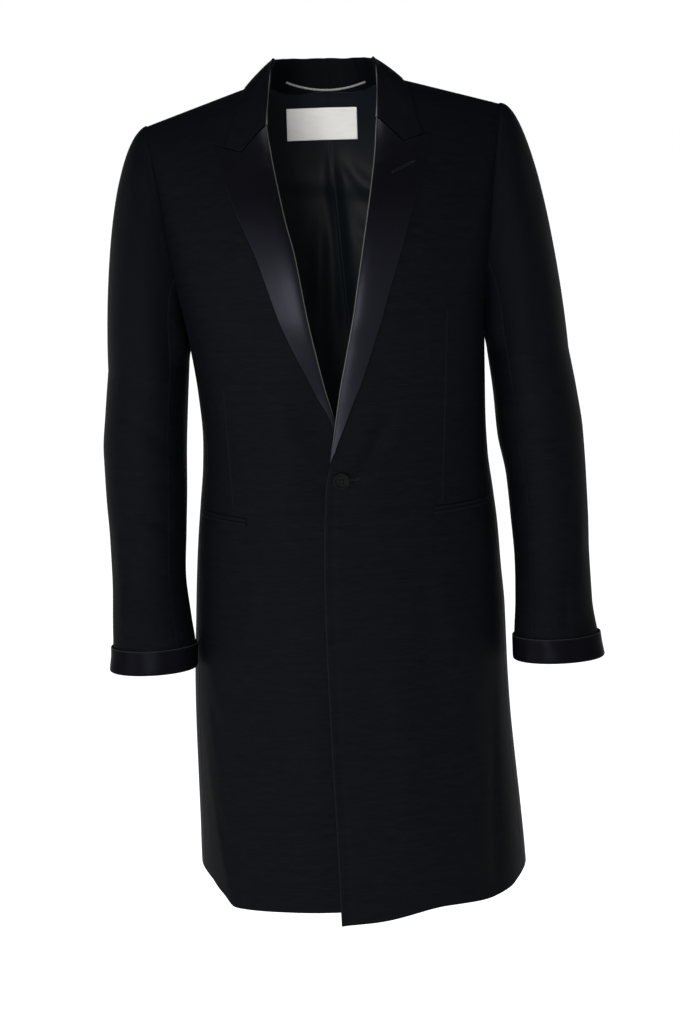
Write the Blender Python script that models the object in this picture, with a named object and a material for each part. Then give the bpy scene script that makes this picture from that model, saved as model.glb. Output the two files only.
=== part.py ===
"""A long single-breasted evening coat, hollow and upright as it is worn, one named solid for each sewn piece.

Metres, +Z up, the front faces -Y, the wearer's left is +X. The origin lies between the two points where the
shoulder seams meet the neck. The body is one surface: a rounded oval at each level, whose half-widths and
depths are the rows of BODY, and which closes over at the shoulder seams. Every panel is a part of it.
"""

import bpy
import numpy as np

for old in list(bpy.data.objects):
    bpy.data.objects.remove(old, do_unlink=True)
garment = bpy.data.objects.new("coat", None)
bpy.context.collection.objects.link(garment)

RIGHT, LEFT = -1, 1       # the wearer's sides, and the sign of x
SIDE_NAME = {RIGHT: "right", LEFT: "left"}

# Cloth and seams
CLOTH = 0.0020            # body cloth with its backing
SATIN = 0.0012            # lapel facings and cuffs
COLLAR = 0.0014
LINING = 0.0010
SEAM = 0.0004             # gap between two pieces at a seam
LAY = 0.0004              # gap under a piece that lies on another
ROLL_RADIUS = CLOTH / 2 + LAY + SATIN

# Body
UNDERARM_Z = -0.270
SCYE = 0.226              # height of the armhole at the shoulder tip
OVAL = 0.8                # 2 / exponent of the oval, below 1 for a squarer body
NECK_X = 0.070
NECK_Z = 0.0025
NECK_FALL = 0.325         # drop of the shoulder line for each metre outwards, inside the neck
SHOULDER_FALL = {RIGHT: 0.321, LEFT: 0.296}   # and along the shoulder seam, at the wearer's right and left
FRONT_ROUND = 2.2         # exponent of the curve from chest to shoulder seam
BACK_ROUND = 3.0
HEM_LEVEL = -0.725
HEM_FADE = 0.22           # height above the hem in which its line fades into the level rows

# Level from the underarm line, half-width at the wearer's right and left, depth to the front and the back
BODY = (
    (-0.740, 0.2032, 0.2050, 0.142, 0.140),
    (-0.680, 0.2030, 0.2025, 0.140, 0.137),
    (-0.620, 0.2015, 0.1988, 0.138, 0.134),
    (-0.560, 0.2003, 0.1945, 0.136, 0.130),
    (-0.500, 0.1990, 0.1908, 0.134, 0.127),
    (-0.440, 0.1965, 0.1892, 0.132, 0.124),
    (-0.370, 0.1912, 0.1888, 0.130, 0.120),
    (-0.320, 0.1872, 0.1860, 0.128, 0.116),
    (-0.270, 0.1822, 0.1838, 0.125, 0.110),
    (-0.225, 0.1765, 0.1797, 0.122, 0.104),
    (-0.180, 0.1708, 0.1752, 0.120, 0.098),
    (-0.140, 0.1686, 0.1742, 0.119, 0.094),
    (-0.090, 0.1712, 0.1752, 0.121, 0.098),
    (-0.040, 0.1767, 0.1765, 0.126, 0.107),
    (0.000, 0.1832, 0.1790, 0.130, 0.114),
    (0.040, 0.1930, 0.1860, 0.131, 0.119),
    (0.094, 0.2050, 0.1965, 0.130, 0.120),
    (0.154, 0.2165, 0.2080, 0.126, 0.118),
    (0.226, 0.2320, 0.2240, 0.120, 0.114),
)

# Armhole: share of the way down, place round the body (0 centre front, 1 centre back) of its front and back edge
ARMHOLE = (
    (0.00, 0.357, 0.643),
    (0.20, 0.358, 0.652),
    (0.40, 0.366, 0.658),
    (0.55, 0.381, 0.652),
    (0.70, 0.402, 0.632),
    (0.85, 0.440, 0.585),
    (1.00, 0.500, 0.500),
)
SIDE_SEAM_DOWN = 0.70     # share of the way down the armhole at which both side seams reach it
FRONT_SEAM = 0.402        # place round the body of the seam between front and side panel
BACK_SEAM = 0.632
UNDERARM_BLEND = 0.07     # height below the underarm in which the side panel's rows take up its hollow top

# Inner edge of each front as it shows: level, x of the left front, x of the right front
FRONT_EDGE = (
    (-0.740, -0.0310, 0.0200),
    (-0.620, -0.0313, 0.0200),
    (-0.515, -0.0320, 0.0200),
    (-0.425, -0.0320, 0.0200),
    (-0.345, -0.0313, 0.0200),
    (-0.280, -0.0290, 0.0200),
    (-0.205, -0.0235, 0.0190),
    (-0.170, -0.0191, 0.0085),
    (-0.135, -0.0111, -0.0030),
    (-0.110, -0.0060, -0.0098),
    (-0.082, -0.0004, -0.0176),
    (-0.038, 0.0099, -0.0262),
    (0.015, 0.0219, -0.0357),
    (0.060, 0.0326, -0.0437),
    (0.087, 0.0388, -0.0510),
    (0.114, 0.0449, -0.0568),
    (0.151, 0.0522, -0.0637),
    (0.182, 0.0565, -0.0680),
    (0.226, 0.0700, -0.0700),
)
BREAK_LEVEL = -0.170      # where the lapel starts to roll
GORGE_LEVEL = 0.182       # where the collar meets the lapel on the roll line

# Outer edge of each lapel, to its own side of the centre: level, left lapel, right lapel
LAPEL_EDGE = (
    (-0.170, -0.0150, -0.0035),
    (-0.149, -0.0075, 0.0030),
    (-0.131, 0.0005, 0.0095),
    (-0.112, 0.0085, 0.0165),
    (-0.094, 0.0164, 0.0265),
    (-0.074, 0.0255, 0.0350),
    (-0.028, 0.0426, 0.0555),
    (0.015, 0.0586, 0.0720),
    (0.063, 0.0784, 0.0890),
    (0.094, 0.0902, 0.1030),
    (0.124, 0.1018, 0.1150),
    (0.150, 0.1110, 0.1240),
    (0.178, 0.1190, 0.1305),
)
NOTCH_SHARE = 0.52        # share of the lapel's width from the roll line to the notch
NOTCH_LEVEL = 0.164
PEAK_LEVEL = 0.178
COLLAR_TIP_SHARE = 0.86   # how far the collar's tip reaches along the lapel's top edge

# How far each front stands out from the body where one laps over the other: level, left, right
OVERLAP = (
    (-0.740, 0.0010, -0.0016),
    (-0.240, 0.0010, -0.0016),
    (-0.190, 0.0022, -0.0050),
    (-0.095, 0.0022, -0.0050),
    (-0.020, 0.0000, 0.0000),
    (0.226, 0.0000, 0.0000),
)
OVERLAP_FULL_X = 0.020    # own side of the centre, in from which the whole overlap holds
OVERLAP_END_X = 0.075

# Collar: share of the way from gorge to centre back, inward lean of the fold, x and level of the leaf's edge, and
# height of the fold above the neckline at the wearer's right and left
SHOULDER_AT = 0.457
COLLAR_ROWS = (
    (0.000, 0.0030, 0.1107, 0.1739, 0.0030, 0.0030),
    (0.150, 0.0050, 0.1060, 0.1870, 0.0095, 0.0095),
    (0.300, 0.0080, 0.1000, 0.2060, 0.0160, 0.0155),
    (0.457, 0.0095, 0.0885, 0.2260, 0.0235, 0.0215),
    (0.600, 0.0085, 0.0790, 0.2202, 0.0315, 0.0285),
    (0.750, 0.0060, 0.0580, 0.2097, 0.0365, 0.0335),
    (0.900, 0.0040, 0.0260, 0.1999, 0.0345, 0.0325),
    (1.000, 0.0030, 0.0000, 0.1975, 0.0315, 0.0315),
)
NECK_DIP = 0.0215         # how far the back neckline dips below the shoulder seam's level at the centre
NECK_BLEND = 0.06         # and how far below the gorge's level its rows start to follow it

# Hem line: place round the body, rise above HEM_LEVEL at the wearer's right and left
HEM = (
    (-0.060, 0.0145, -0.0035),
    (0.000, 0.0145, 0.0000),
    (0.130, 0.0155, 0.0135),
    (0.240, 0.0145, 0.0120),
    (0.268, 0.0150, 0.0130),
    (0.300, 0.0255, 0.0150),
    (0.330, 0.0330, 0.0172),
    (0.360, 0.0405, 0.0212),
    (0.420, 0.0460, 0.0258),
    (0.500, 0.0475, 0.0272),
    (0.700, 0.0360, 0.0270),
    (1.000, 0.0200, 0.0200),
)

# Folds: face (-1 front, 1 back), start x and level, end x and level, half-width, height (a trough is negative)
FOLDS = (
    (-1, 0.012, -0.190, 0.058, -0.108, 0.010, -0.0032),
    (-1, -0.100, -0.045, -0.045, -0.175, 0.018, 0.0030),
    (-1, -0.178, -0.400, -0.157, -0.485, 0.009, 0.0035),
    (-1, -0.184, -0.450, -0.162, -0.620, 0.010, 0.0045),
    (-1, -0.188, -0.545, -0.160, -0.720, 0.011, 0.0045),
    (-1, -0.108, -0.270, -0.123, -0.560, 0.018, 0.0028),
    (-1, 0.166, -0.530, 0.160, -0.715, 0.009, -0.0045),
    (-1, 0.186, -0.400, 0.181, -0.700, 0.012, 0.0040),
    (-1, 0.115, -0.330, 0.138, -0.580, 0.020, 0.0024),
    (1, -0.060, -0.250, -0.085, -0.640, 0.020, 0.0040),
    (1, 0.070, -0.270, 0.095, -0.680, 0.022, 0.0038),
    (1, -0.150, -0.330, -0.140, -0.700, 0.014, 0.0040),
    (1, 0.155, -0.300, 0.150, -0.700, 0.013, -0.0035),
    (1, -0.120, -0.150, 0.110, -0.165, 0.014, -0.0025),
    (1, -0.110, 0.020, -0.140, 0.120, 0.014, -0.0028),
    (1, 0.110, 0.030, 0.140, 0.130, 0.014, -0.0028),
)


def smooth(at, table, column):
    """Values of one column at the places in the first, on a curve through the rows with no corner or overshoot."""
    rows = np.array(table, float)
    xs, ys = rows[:, 0], rows[:, column]
    rises = np.diff(ys) / np.diff(xs)
    before, after = rises[:-1], rises[1:]
    same_way = before * after > 0
    inner = np.where(same_way, 2 * before * after / np.where(same_way, before + after, 1), 0)
    slopes = np.concatenate([rises[:1], inner, rises[-1:]])
    at = np.clip(at, xs[0], xs[-1])
    i = np.clip(np.searchsorted(xs, at, side="right") - 1, 0, len(xs) - 2)
    h = xs[i + 1] - xs[i]
    t = (at - xs[i]) / h
    ends = ys[i] * (2 * t**3 - 3 * t**2 + 1) + ys[i + 1] * (3 * t**2 - 2 * t**3)
    return ends + h * (slopes[i] * (t**3 - 2 * t**2 + t) + slopes[i + 1] * (t**3 - t**2))


def step(x, low, high):
    """0 below low, 1 above high and a smooth rise between; low may be above high."""
    t = np.clip((x - low) / (high - low), 0.0, 1.0)
    return t * t * (3 - 2 * t)


def unit(v):
    """Vectors divided by their lengths."""
    return v / np.maximum(np.linalg.norm(v, axis=-1, keepdims=True), 1e-12)


def fold_height(x, level, face):
    """Sum of the folds there: each a smooth ridge or trough round a line, fading out at both its ends."""
    height = np.zeros(np.broadcast(x, level).shape)
    for which, x0, z0, x1, z1, spread, rise in FOLDS:
        along = np.array([x1 - x0, z1 - z0])
        length = np.linalg.norm(along)
        along = along / length
        s = ((x - x0) * along[0] + (level - z0) * along[1]) / length
        off = (x - x0) * along[1] - (level - z0) * along[0]
        ends = step(s, -0.15, 0.30) * step(s, 1.15, 0.70)
        height = height + (face == which) * rise * ends * np.exp(-(off / spread) ** 2)
    return height


def seam_height(x, side):
    """Height of the shoulder line over a point, x metres to its own side of the centre."""
    out = np.abs(x) - NECK_X
    return NECK_Z - np.where(out > 0, SHOULDER_FALL[side], NECK_FALL) * out


def body(side, place, level):
    """Point of the body: place 0 is the centre front, 0.5 the side and 1 the centre back; below 0 it has passed
    the centre front to the other side. Below the underarm a level is a height, above it a share of the way up
    to the shoulder seam, where front and back meet."""
    place, level = np.broadcast_arrays(np.asarray(place, float), np.asarray(level, float))
    up = np.clip(level / SCYE, 0.0, 1.0)
    turn = np.pi * place
    across = np.sign(np.sin(turn)) * np.abs(np.sin(turn)) ** OVAL
    ahead = np.sign(np.cos(turn)) * np.abs(np.cos(turn)) ** OVAL
    column = np.where(across >= 0, side, -side)
    half = np.where(column < 0, smooth(level, BODY, 1), smooth(level, BODY, 2))
    x = half * across
    z = UNDERARM_Z + np.where(level < 0, level, up * (seam_height(x, side) - UNDERARM_Z))
    front = smooth(level, BODY, 3) * (1 - up**FRONT_ROUND) ** (1 / FRONT_ROUND)
    back = smooth(level, BODY, 4) * (1 - up**BACK_ROUND) ** (1 / BACK_ROUND)
    face = np.where(ahead >= 0, -1, 1)
    fold = fold_height(side * x, level, face) * (1 - up) ** 0.5
    y = -ahead * (np.where(ahead >= 0, front, back) + fold)
    return np.stack([side * x, y, z], axis=-1)


PLACE_STEP = 2e-4         # how far to each side the body's direction is taken from
LEVEL_STEP = 1e-5


def body_normal(side, place, level):
    """Outward direction of the body, from the points a little to each side."""
    place, level = np.broadcast_arrays(np.asarray(place, float), np.asarray(level, float))
    round_it = body(side, place + PLACE_STEP, level) - body(side, place - PLACE_STEP, level)
    top = np.minimum(level + LEVEL_STEP, SCYE)
    up_it = body(side, place, top) - body(side, place, top - 2 * LEVEL_STEP)
    return side * unit(np.cross(round_it, up_it))


def place_of(side, x, level, at_back=False):
    """Place round the body of a point x metres to its own side of the centre."""
    other = np.where(x >= 0, side, -side)
    half = np.where(other < 0, smooth(level, BODY, 1), smooth(level, BODY, 2))
    turn = np.arcsin(np.clip(np.abs(x) / half, 0, 1) ** (1 / OVAL)) / np.pi
    return 1 - turn if at_back else np.sign(x) * turn


def columns_between(low, high, share):
    """Places a share of the way from low to high, spaced evenly across the coat where they pass its middle."""
    low, high = [np.sign(end) * np.abs(end) ** OVAL for end in (low, high)]
    even = low + (high - low) * share
    return np.sign(even) * np.abs(even) ** (1 / OVAL)


def level_of(side, x, z):
    """Level of a point of the body from its distance to its own side of the centre and its height."""
    above = SCYE * (z - UNDERARM_Z) / (seam_height(x, side) - UNDERARM_Z)
    return np.where(z < UNDERARM_Z, z - UNDERARM_Z, above)


def armhole_level(down):
    """Level of the armhole's edge a share of the way down: the loop is round at its top and its bottom."""
    return SCYE * (1 + np.cos(np.pi * down)) / 2


def armhole_place(level, column):
    """Place of the armhole's front (1) or back (2) edge at a level."""
    down = np.arccos(np.clip(2 * level / SCYE - 1, -1, 1)) / np.pi
    return smooth(down, ARMHOLE, column)


def material(name, colour, roughness):
    """Plain finish of one kind of cloth or trimming."""
    made = bpy.data.materials.new(name)
    made.use_nodes = True
    made.diffuse_color = (*colour, 1.0)
    shader = made.node_tree.nodes["Principled BSDF"]
    shader.inputs["Base Color"].default_value = (*colour, 1.0)
    shader.inputs["Roughness"].default_value = roughness
    return made


WOOL = material("navy wool and mohair", (0.012, 0.013, 0.019), 0.75)
SATIN_FINISH = material("midnight satin", (0.016, 0.015, 0.024), 0.32)
LINING_FINISH = material("dark teal lining", (0.010, 0.014, 0.018), 0.38)
LABEL_FINISH = material("ivory label", (0.78, 0.77, 0.74), 0.5)
CORD_FINISH = material("silver grey loop", (0.62, 0.60, 0.56), 0.45)
HORN = material("dark horn", (0.010, 0.010, 0.013), 0.3)


def solid(name, points, faces, finish):
    """Object from points and faces, turned so that its faces point outwards."""
    points = np.asarray(points, float)
    corners = [(f[0], f[i], f[i + 1]) for f in faces for i in range(1, len(f) - 1)]
    tri = points[np.array(corners)]
    if np.einsum("ij,ij->", tri[:, 0], np.cross(tri[:, 1], tri[:, 2])) < 0:
        faces = [tuple(reversed(f)) for f in faces]
    mesh = bpy.data.meshes.new(name)
    mesh.from_pydata(points.tolist(), [], [tuple(int(i) for i in f) for f in faces])
    mesh.shade_smooth()
    mesh.set_sharp_from_angle(angle=np.radians(50))
    mesh.materials.append(finish)
    made = bpy.data.objects.new(name, mesh)
    bpy.context.collection.objects.link(made)
    made.parent = garment
    return made


def quads(index, around_rows=False, around_columns=False):
    """Faces between neighbouring rows and columns of a grid of point numbers."""
    if around_rows:
        index = np.vstack([index, index[:1]])
    if around_columns:
        index = np.hstack([index, index[:, :1]])
    cells = np.stack([index[:-1, :-1], index[:-1, 1:], index[1:, 1:], index[1:, :-1]], axis=-1)
    return cells.reshape(-1, 4)


def wall(name, outer, inner, finish, around=False):
    """Closed solid between two grids of points. With around, each row is a closed ring."""
    rows, columns = outer.shape[:2]
    out = np.arange(rows * columns).reshape(rows, columns)
    deep = out + rows * columns
    parts = [quads(out, around_columns=around), quads(deep[:, ::-1], around_columns=around)]
    for edge_out, edge_in in ((out[0], deep[0]), (out[-1][::-1], deep[-1][::-1])):
        parts.append(quads(np.stack([edge_in, edge_out]), around_columns=around))
    if not around:
        parts.append(quads(np.stack([deep[:, -1], out[:, -1]])))
        # Begun a corner later, so that two pieces at a seam part these faces along the same line
        parts.append(np.roll(quads(np.stack([deep[:, 0][::-1], out[:, 0][::-1]])), -1, axis=1))
    points = np.concatenate([outer.reshape(-1, 3), inner.reshape(-1, 3)])
    return solid(name, points, [tuple(f) for f in np.concatenate(parts)], finish)


def seams(outer, inner, first_row=0.0, last_row=0.0, first_column=0.0, last_column=0.0):
    """Both faces of a wall with their edges drawn back by these distances, to leave the gaps at its seams."""
    shift = np.zeros(outer.shape)
    shift[0] += first_row * unit(outer[1] - outer[0])
    shift[-1] += last_row * unit(outer[-2] - outer[-1])
    shift[:, 0] += first_column * unit(outer[:, 1] - outer[:, 0])
    shift[:, -1] += last_column * unit(outer[:, -2] - outer[:, -1])
    return outer + shift, inner + shift


def grid_normals(grid, outside, around=False):
    """Directions square to a grid of points, on the side that outside, a direction at each point, gives."""
    if around:
        across = np.roll(grid, -1, axis=1) - np.roll(grid, 1, axis=1)
    else:
        across = np.gradient(grid, axis=1)
    found = unit(np.cross(across, np.gradient(grid, axis=0)))
    return np.where((found * outside).sum(-1, keepdims=True) < 0, -found, found)


# Levels of the rows of every body panel. The two above the gorge and below the seam are close together.
SKIRT_LEVELS = np.linspace(HEM_LEVEL, BREAK_LEVEL, 12)[:-1]
WAIST_LEVELS = np.linspace(BREAK_LEVEL, 0.0, 6)[:-1]
CHEST_LEVELS = np.linspace(0.0, GORGE_LEVEL, 6)
SHOULDER_LEVELS = SCYE * np.array([0.90, 0.965, 1.0])
LEVELS = np.concatenate([SKIRT_LEVELS, WAIST_LEVELS, CHEST_LEVELS, SHOULDER_LEVELS])
FRONT_COLUMNS, SIDE_COLUMNS, BACK_COLUMNS = 13, 7, 10


def hem_rise(side, place, level):
    """Change of level that gives the hem its line, fading out above it."""
    fade = step(level, HEM_LEVEL + HEM_FADE, HEM_LEVEL)
    return fade * smooth(place, HEM, 1 if side == RIGHT else 2)


def front_edge_x(side, level):
    """Distance of a front's inner edge to its own side of the centre. Where the lapel rolls round it, it lies
    back by the roll's radius."""
    shown = side * smooth(level, FRONT_EDGE, 2 if side == RIGHT else 1)
    rolled = step(level, BREAK_LEVEL - 0.03, BREAK_LEVEL) * step(level, SCYE, GORGE_LEVEL)
    return shown + ROLL_RADIUS * rolled


def front_edge(side, level):
    """Place of the inner edge of a front, on its own side of the centre."""
    return place_of(side, front_edge_x(side, level), level)


def overlap_lift(side, points, level):
    """How far a front stands out from the body at these points because the fronts lap there."""
    near = step(side * points[..., 0], OVERLAP_END_X, OVERLAP_FULL_X)
    return near * smooth(level, OVERLAP, 2 if side == RIGHT else 1)


def front_surface(side, place, level):
    """Outer face of a front and its outward direction."""
    level = level + hem_rise(side, place, level)
    points = body(side, place, level)
    normals = body_normal(side, place, level)
    return points + normals * overlap_lift(side, points, level)[..., None], normals


def front(side):
    """Front from hem to shoulder seam, from its own edge to the side seam and the armhole."""
    share = np.linspace(0, 1, FRONT_COLUMNS)
    level = np.repeat(LEVELS[:, None], len(share), axis=1)
    low = front_edge(side, LEVELS)
    high = np.where(LEVELS > armhole_level(SIDE_SEAM_DOWN), armhole_place(LEVELS, 1), FRONT_SEAM)
    place = columns_between(low[:, None], high[:, None], share)
    points, normals = front_surface(side, place, level)
    faces = seams(points, points - normals * CLOTH, last_row=SEAM / 2, last_column=SEAM / 2)
    return wall("front_" + SIDE_NAME[side], *faces, WOOL)


def neck_dip(share):
    """Drop of the back neckline at a share of its way from the centre to the shoulder seam."""
    return NECK_DIP * (1 - np.clip(share, 0, 1) ** 2.2)


def back(side):
    """Back half from hem to neck and shoulder seam, from the side seam and armhole to the centre back seam."""
    share = np.linspace(0, 1, BACK_COLUMNS)
    low = np.where(LEVELS > armhole_level(SIDE_SEAM_DOWN), armhole_place(LEVELS, 2), BACK_SEAM)
    place = 1 - columns_between(1 - low[:, None], 0.0, share)
    neck = 1 - place_of(side, NECK_X, SCYE, at_back=True)
    dip = neck_dip((1 - place) / neck)
    level = LEVELS[:, None] - dip * step(LEVELS[:, None], GORGE_LEVEL - NECK_BLEND, SCYE)
    level = level + hem_rise(side, place, level)
    points = body(side, place, level)
    normals = body_normal(side, place, level)
    faces = seams(points, points - normals * CLOTH, 0, SEAM / 2, SEAM / 2, SEAM / 2)
    return wall("back_" + SIDE_NAME[side], *faces, WOOL)


def side_panel(side):
    """Panel under the arm, its top hollowed by the armhole."""
    share = np.linspace(0, 1, SIDE_COLUMNS)
    place = FRONT_SEAM + (BACK_SEAM - FRONT_SEAM) * share
    downs = np.linspace(0.6, 1.0, 200)
    front_top = np.interp(place, smooth(downs, ARMHOLE, 1), armhole_level(downs))
    back_top = np.interp(-place, -smooth(downs, ARMHOLE, 2), armhole_level(downs))
    top = np.where(place < 0.5, front_top, back_top)
    levels = np.concatenate([SKIRT_LEVELS, WAIST_LEVELS, [0.0]])
    level = levels[:, None] + top * step(levels[:, None], -UNDERARM_BLEND, 0.0)
    place = np.repeat(place[None], len(levels), axis=0)
    level = level + hem_rise(side, place, level)
    points = body(side, place, level)
    normals = body_normal(side, place, level)
    faces = seams(points, points - normals * CLOTH, 0, SEAM / 2, SEAM / 2, SEAM / 2)
    return wall("side_panel_" + SIDE_NAME[side], *faces, WOOL)


def revers_top(share):
    """Level of the seam and top edge between lapel and collar at a share of the lapel's width."""
    return np.interp(share, [0, NOTCH_SHARE, 1], [GORGE_LEVEL, NOTCH_LEVEL, PEAK_LEVEL])


def revers_x(side, share, level):
    """Distance from the centre of a point of the lapel at a share of its width."""
    edge = front_edge_x(side, level)
    tip = smooth(level, LAPEL_EDGE, 2 if side == RIGHT else 1)
    return edge + np.maximum(tip - edge, 0.003) * share


ROLL_PUFF_AT = 0.011      # where the rolled lapel stands highest, from its fold
ROLL_PUFF_LOW = 0.0005    # and how high, at the break and at the gorge
ROLL_PUFF_HIGH = 0.0025
LAPEL_TUCK = 0.004        # how far the lapel's wall reaches inside the front
LEAF_SHARES = (0.07, 0.18, 0.34, NOTCH_SHARE)   # columns of lapel and collar between roll line and notch


def lapel(side):
    """Satin lapel: a wall that starts inside the front, rolls round its edge and lies on it out to the peak."""
    rows = LEVELS[(LEVELS >= BREAK_LEVEL - 1e-9) & (LEVELS <= GORGE_LEVEL + 1e-9)]
    share = np.array([0.0, *LEAF_SHARES, 0.76, 1.0])
    rise = (rows - BREAK_LEVEL) / (GORGE_LEVEL - BREAK_LEVEL)
    level = BREAK_LEVEL + rise[:, None] * (revers_top(share) - BREAK_LEVEL)
    x = revers_x(side, share, level)
    points, normals = front_surface(side, place_of(side, x, level), level)
    off = (x - x[:, :1])[..., None]
    puff = (ROLL_PUFF_LOW + (ROLL_PUFF_HIGH - ROLL_PUFF_LOW) * rise)[:, None, None]
    soft = puff * (off / ROLL_PUFF_AT) * np.exp(1 - off / ROLL_PUFF_AT)
    lying = points + normals * (LAY + SATIN + soft)
    lying_under = points + normals * (LAY + soft)
    away = unit(points[:, :1] - points[:, 1:2])
    away = unit(away - normals[:, :1] * (away * normals[:, :1]).sum(-1, keepdims=True))
    centre = points[:, :1] - normals[:, :1] * CLOTH / 2
    turn = np.radians([-90.0, -45.0, 0.0, 45.0])[None, :, None]
    round_it = normals[:, :1] * np.sin(turn) + away * np.cos(turn)
    inside = centre - away * LAPEL_TUCK
    outer = np.concatenate([
        inside - normals[:, :1] * ROLL_RADIUS, centre + round_it * ROLL_RADIUS, lying], axis=1)
    inner = np.concatenate([
        inside - normals[:, :1] * (ROLL_RADIUS - SATIN), centre + round_it * (ROLL_RADIUS - SATIN), lying_under],
        axis=1)
    return wall("lapel_" + SIDE_NAME[side], *seams(outer, inner, last_row=SEAM * 2), SATIN_FINISH)


COLLAR_TUCK = 0.005       # how far the stand reaches down inside the neck seam
STAND_IN = 0.0056         # how far inside the neckline the stand's own face lies
STAND_HOLLOW = 0.001      # how far it bows inwards halfway up
LEAF_LAY = 0.0010         # gap under the leaf where it goes over the shoulder
COLLAR_FOLD = 0.0024      # radius of the collar's fold
COLLAR_BULGE = 0.0012     # how much the leaf rounds outwards between fold and edge
RIGHT_TIP_WIDER = 0.09    # the right collar tip reaches out further by this share
UPRIGHT_AT = 0.34         # share of the way from gorge to centre back at which the stand is upright
FALLS_FROM = 0.10         # and from which the leaf leaves the front


def collar_half(side):
    """One half of the collar from the gorge to the centre back: its outer face, and which way that face looks.

    A row runs up inside the neck, over the fold and down outside to the leaf's edge. At the gorge it follows the
    lapel's own section, and it changes to an upright stand and a falling leaf before the shoulder seam."""
    from_gorge = np.linspace(0, 1, 9)
    to_back = np.linspace(0, 1, 9)[1:]
    t = np.concatenate([from_gorge * SHOULDER_AT, SHOULDER_AT + to_back * (1 - SHOULDER_AT)])
    ahead = t <= SHOULDER_AT + 1e-9
    neck = 1 - place_of(side, NECK_X, SCYE, at_back=True)
    neck_level = np.concatenate([
        GORGE_LEVEL + (SCYE - GORGE_LEVEL) * np.sin(from_gorge * np.pi / 2) ** OVAL, SCYE - neck_dip(1 - to_back)])
    neck_place = np.concatenate([front_edge(side, neck_level[ahead]), 1 - neck * (1 - to_back)])
    foot, normal = front_surface(side, neck_place, neck_level)
    up = np.array([0.0, 0.0, 1.0])
    inward = unit(foot * np.array([-1.0, -1.0, 0.0]) + np.array([0.0, -0.012, 0.0]))
    lean = smooth(t, COLLAR_ROWS, 1)[:, None]
    height = smooth(t, COLLAR_ROWS, 4 if side == RIGHT else 5)[:, None]
    edge_x = smooth(t, COLLAR_ROWS, 2) * np.where(side == RIGHT, 1 + RIGHT_TIP_WIDER * (1 - t) ** 3, 1)
    edge_level = smooth(t, COLLAR_ROWS, 3)
    edge_place = np.where(ahead, place_of(side, edge_x, edge_level),
                          place_of(side, np.maximum(edge_x, 0), edge_level, at_back=True))
    edge, edge_normal = front_surface(side, edge_place, edge_level)
    edge = edge + edge_normal * (LEAF_LAY + COLLAR)

    lay = LEAF_LAY * (0.7 + 0.3 * step(t, 0, 0.1))
    upright = step(t, 0.0, UPRIGHT_AT)[:, None]
    foot_in = foot + inward * STAND_IN
    fold = foot + up * height + inward * (STAND_IN / 2 + lean)
    stand = [foot_in - up * COLLAR_TUCK, foot_in, foot_in + (fold - foot_in) * 0.5 + inward * STAND_HOLLOW]
    stand += [fold + inward * COLLAR_FOLD * 0.9 - up * COLLAR_FOLD * 0.5, fold + up * COLLAR_FOLD * 0.4]
    stand += [fold - inward * COLLAR_FOLD * 0.9 - up * COLLAR_FOLD * 0.5]

    # The same places on the section of the lapel, which rolls round the front's edge
    beside, _ = front_surface(side, neck_place + 0.01, neck_level)
    away = unit(foot - beside)
    away = unit(away - normal * (away * normal).sum(-1, keepdims=True))
    centre = foot - normal * CLOTH / 2
    radius = CLOTH / 2 + COLLAR + lay[:, None]
    rolled = [centre - away * LAPEL_TUCK - normal * radius, centre - normal * radius]
    for angle in np.radians([-60.0, -25.0, 15.0, 50.0]):
        rolled.append(centre + radius * (normal * np.sin(angle) + away * np.cos(angle)))
    columns = [r + (s - r) * upright for r, s in zip(rolled, stand)]

    # The leaf outside the fold: on the front near the gorge, a falling curve from there on
    share = np.array([*LEAF_SHARES, 0.69, COLLAR_TIP_SHARE])
    part = share / COLLAR_TIP_SHARE
    top = revers_top(share)
    level = (top + (1 - part) * (neck_level - GORGE_LEVEL)[:, None]
             + part * (edge_level - revers_top(COLLAR_TIP_SHARE))[:, None])
    straight = np.abs(foot[:, :1]) + (edge_x[:, None] - np.abs(foot[:, :1])) * part
    x = straight + (revers_x(side, share, top) - straight[0]) * (1 - step(t, 0, SHOULDER_AT))[:, None]
    lying, lying_normal = front_surface(side, place_of(side, x, level), level)
    lying = lying + lying_normal * (lay + COLLAR)[:, None, None]
    falls = step(t, FALLS_FROM, SHOULDER_AT)[:, None]
    for k, c in enumerate(part):
        bulge = COLLAR_BULGE * 4 * c * (1 - c)
        falling = stand[5] + (edge - stand[5]) * c + unit(up - inward) * bulge
        columns.append(lying[:, k] + (falling - lying[:, k]) * falls)
    outer = np.stack(columns, axis=1)
    looks = [inward, inward, inward, inward + 0.5 * up, up + away * (1 - upright), up - inward]
    looks += [0.6 * up - inward + normal] * len(part)
    return outer, np.stack(looks, axis=1)


def collar():
    """Collar in one piece, from gorge to gorge."""
    left, left_looks = collar_half(LEFT)
    right, right_looks = collar_half(RIGHT)
    outer = np.concatenate([left, right[-2::-1]])
    looks = np.concatenate([left_looks, right_looks[-2::-1]])
    inner = outer - grid_normals(outer, looks) * COLLAR
    return wall("collar", *seams(outer, inner, first_row=SEAM * 2, last_row=SEAM * 2), WOOL)


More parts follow.
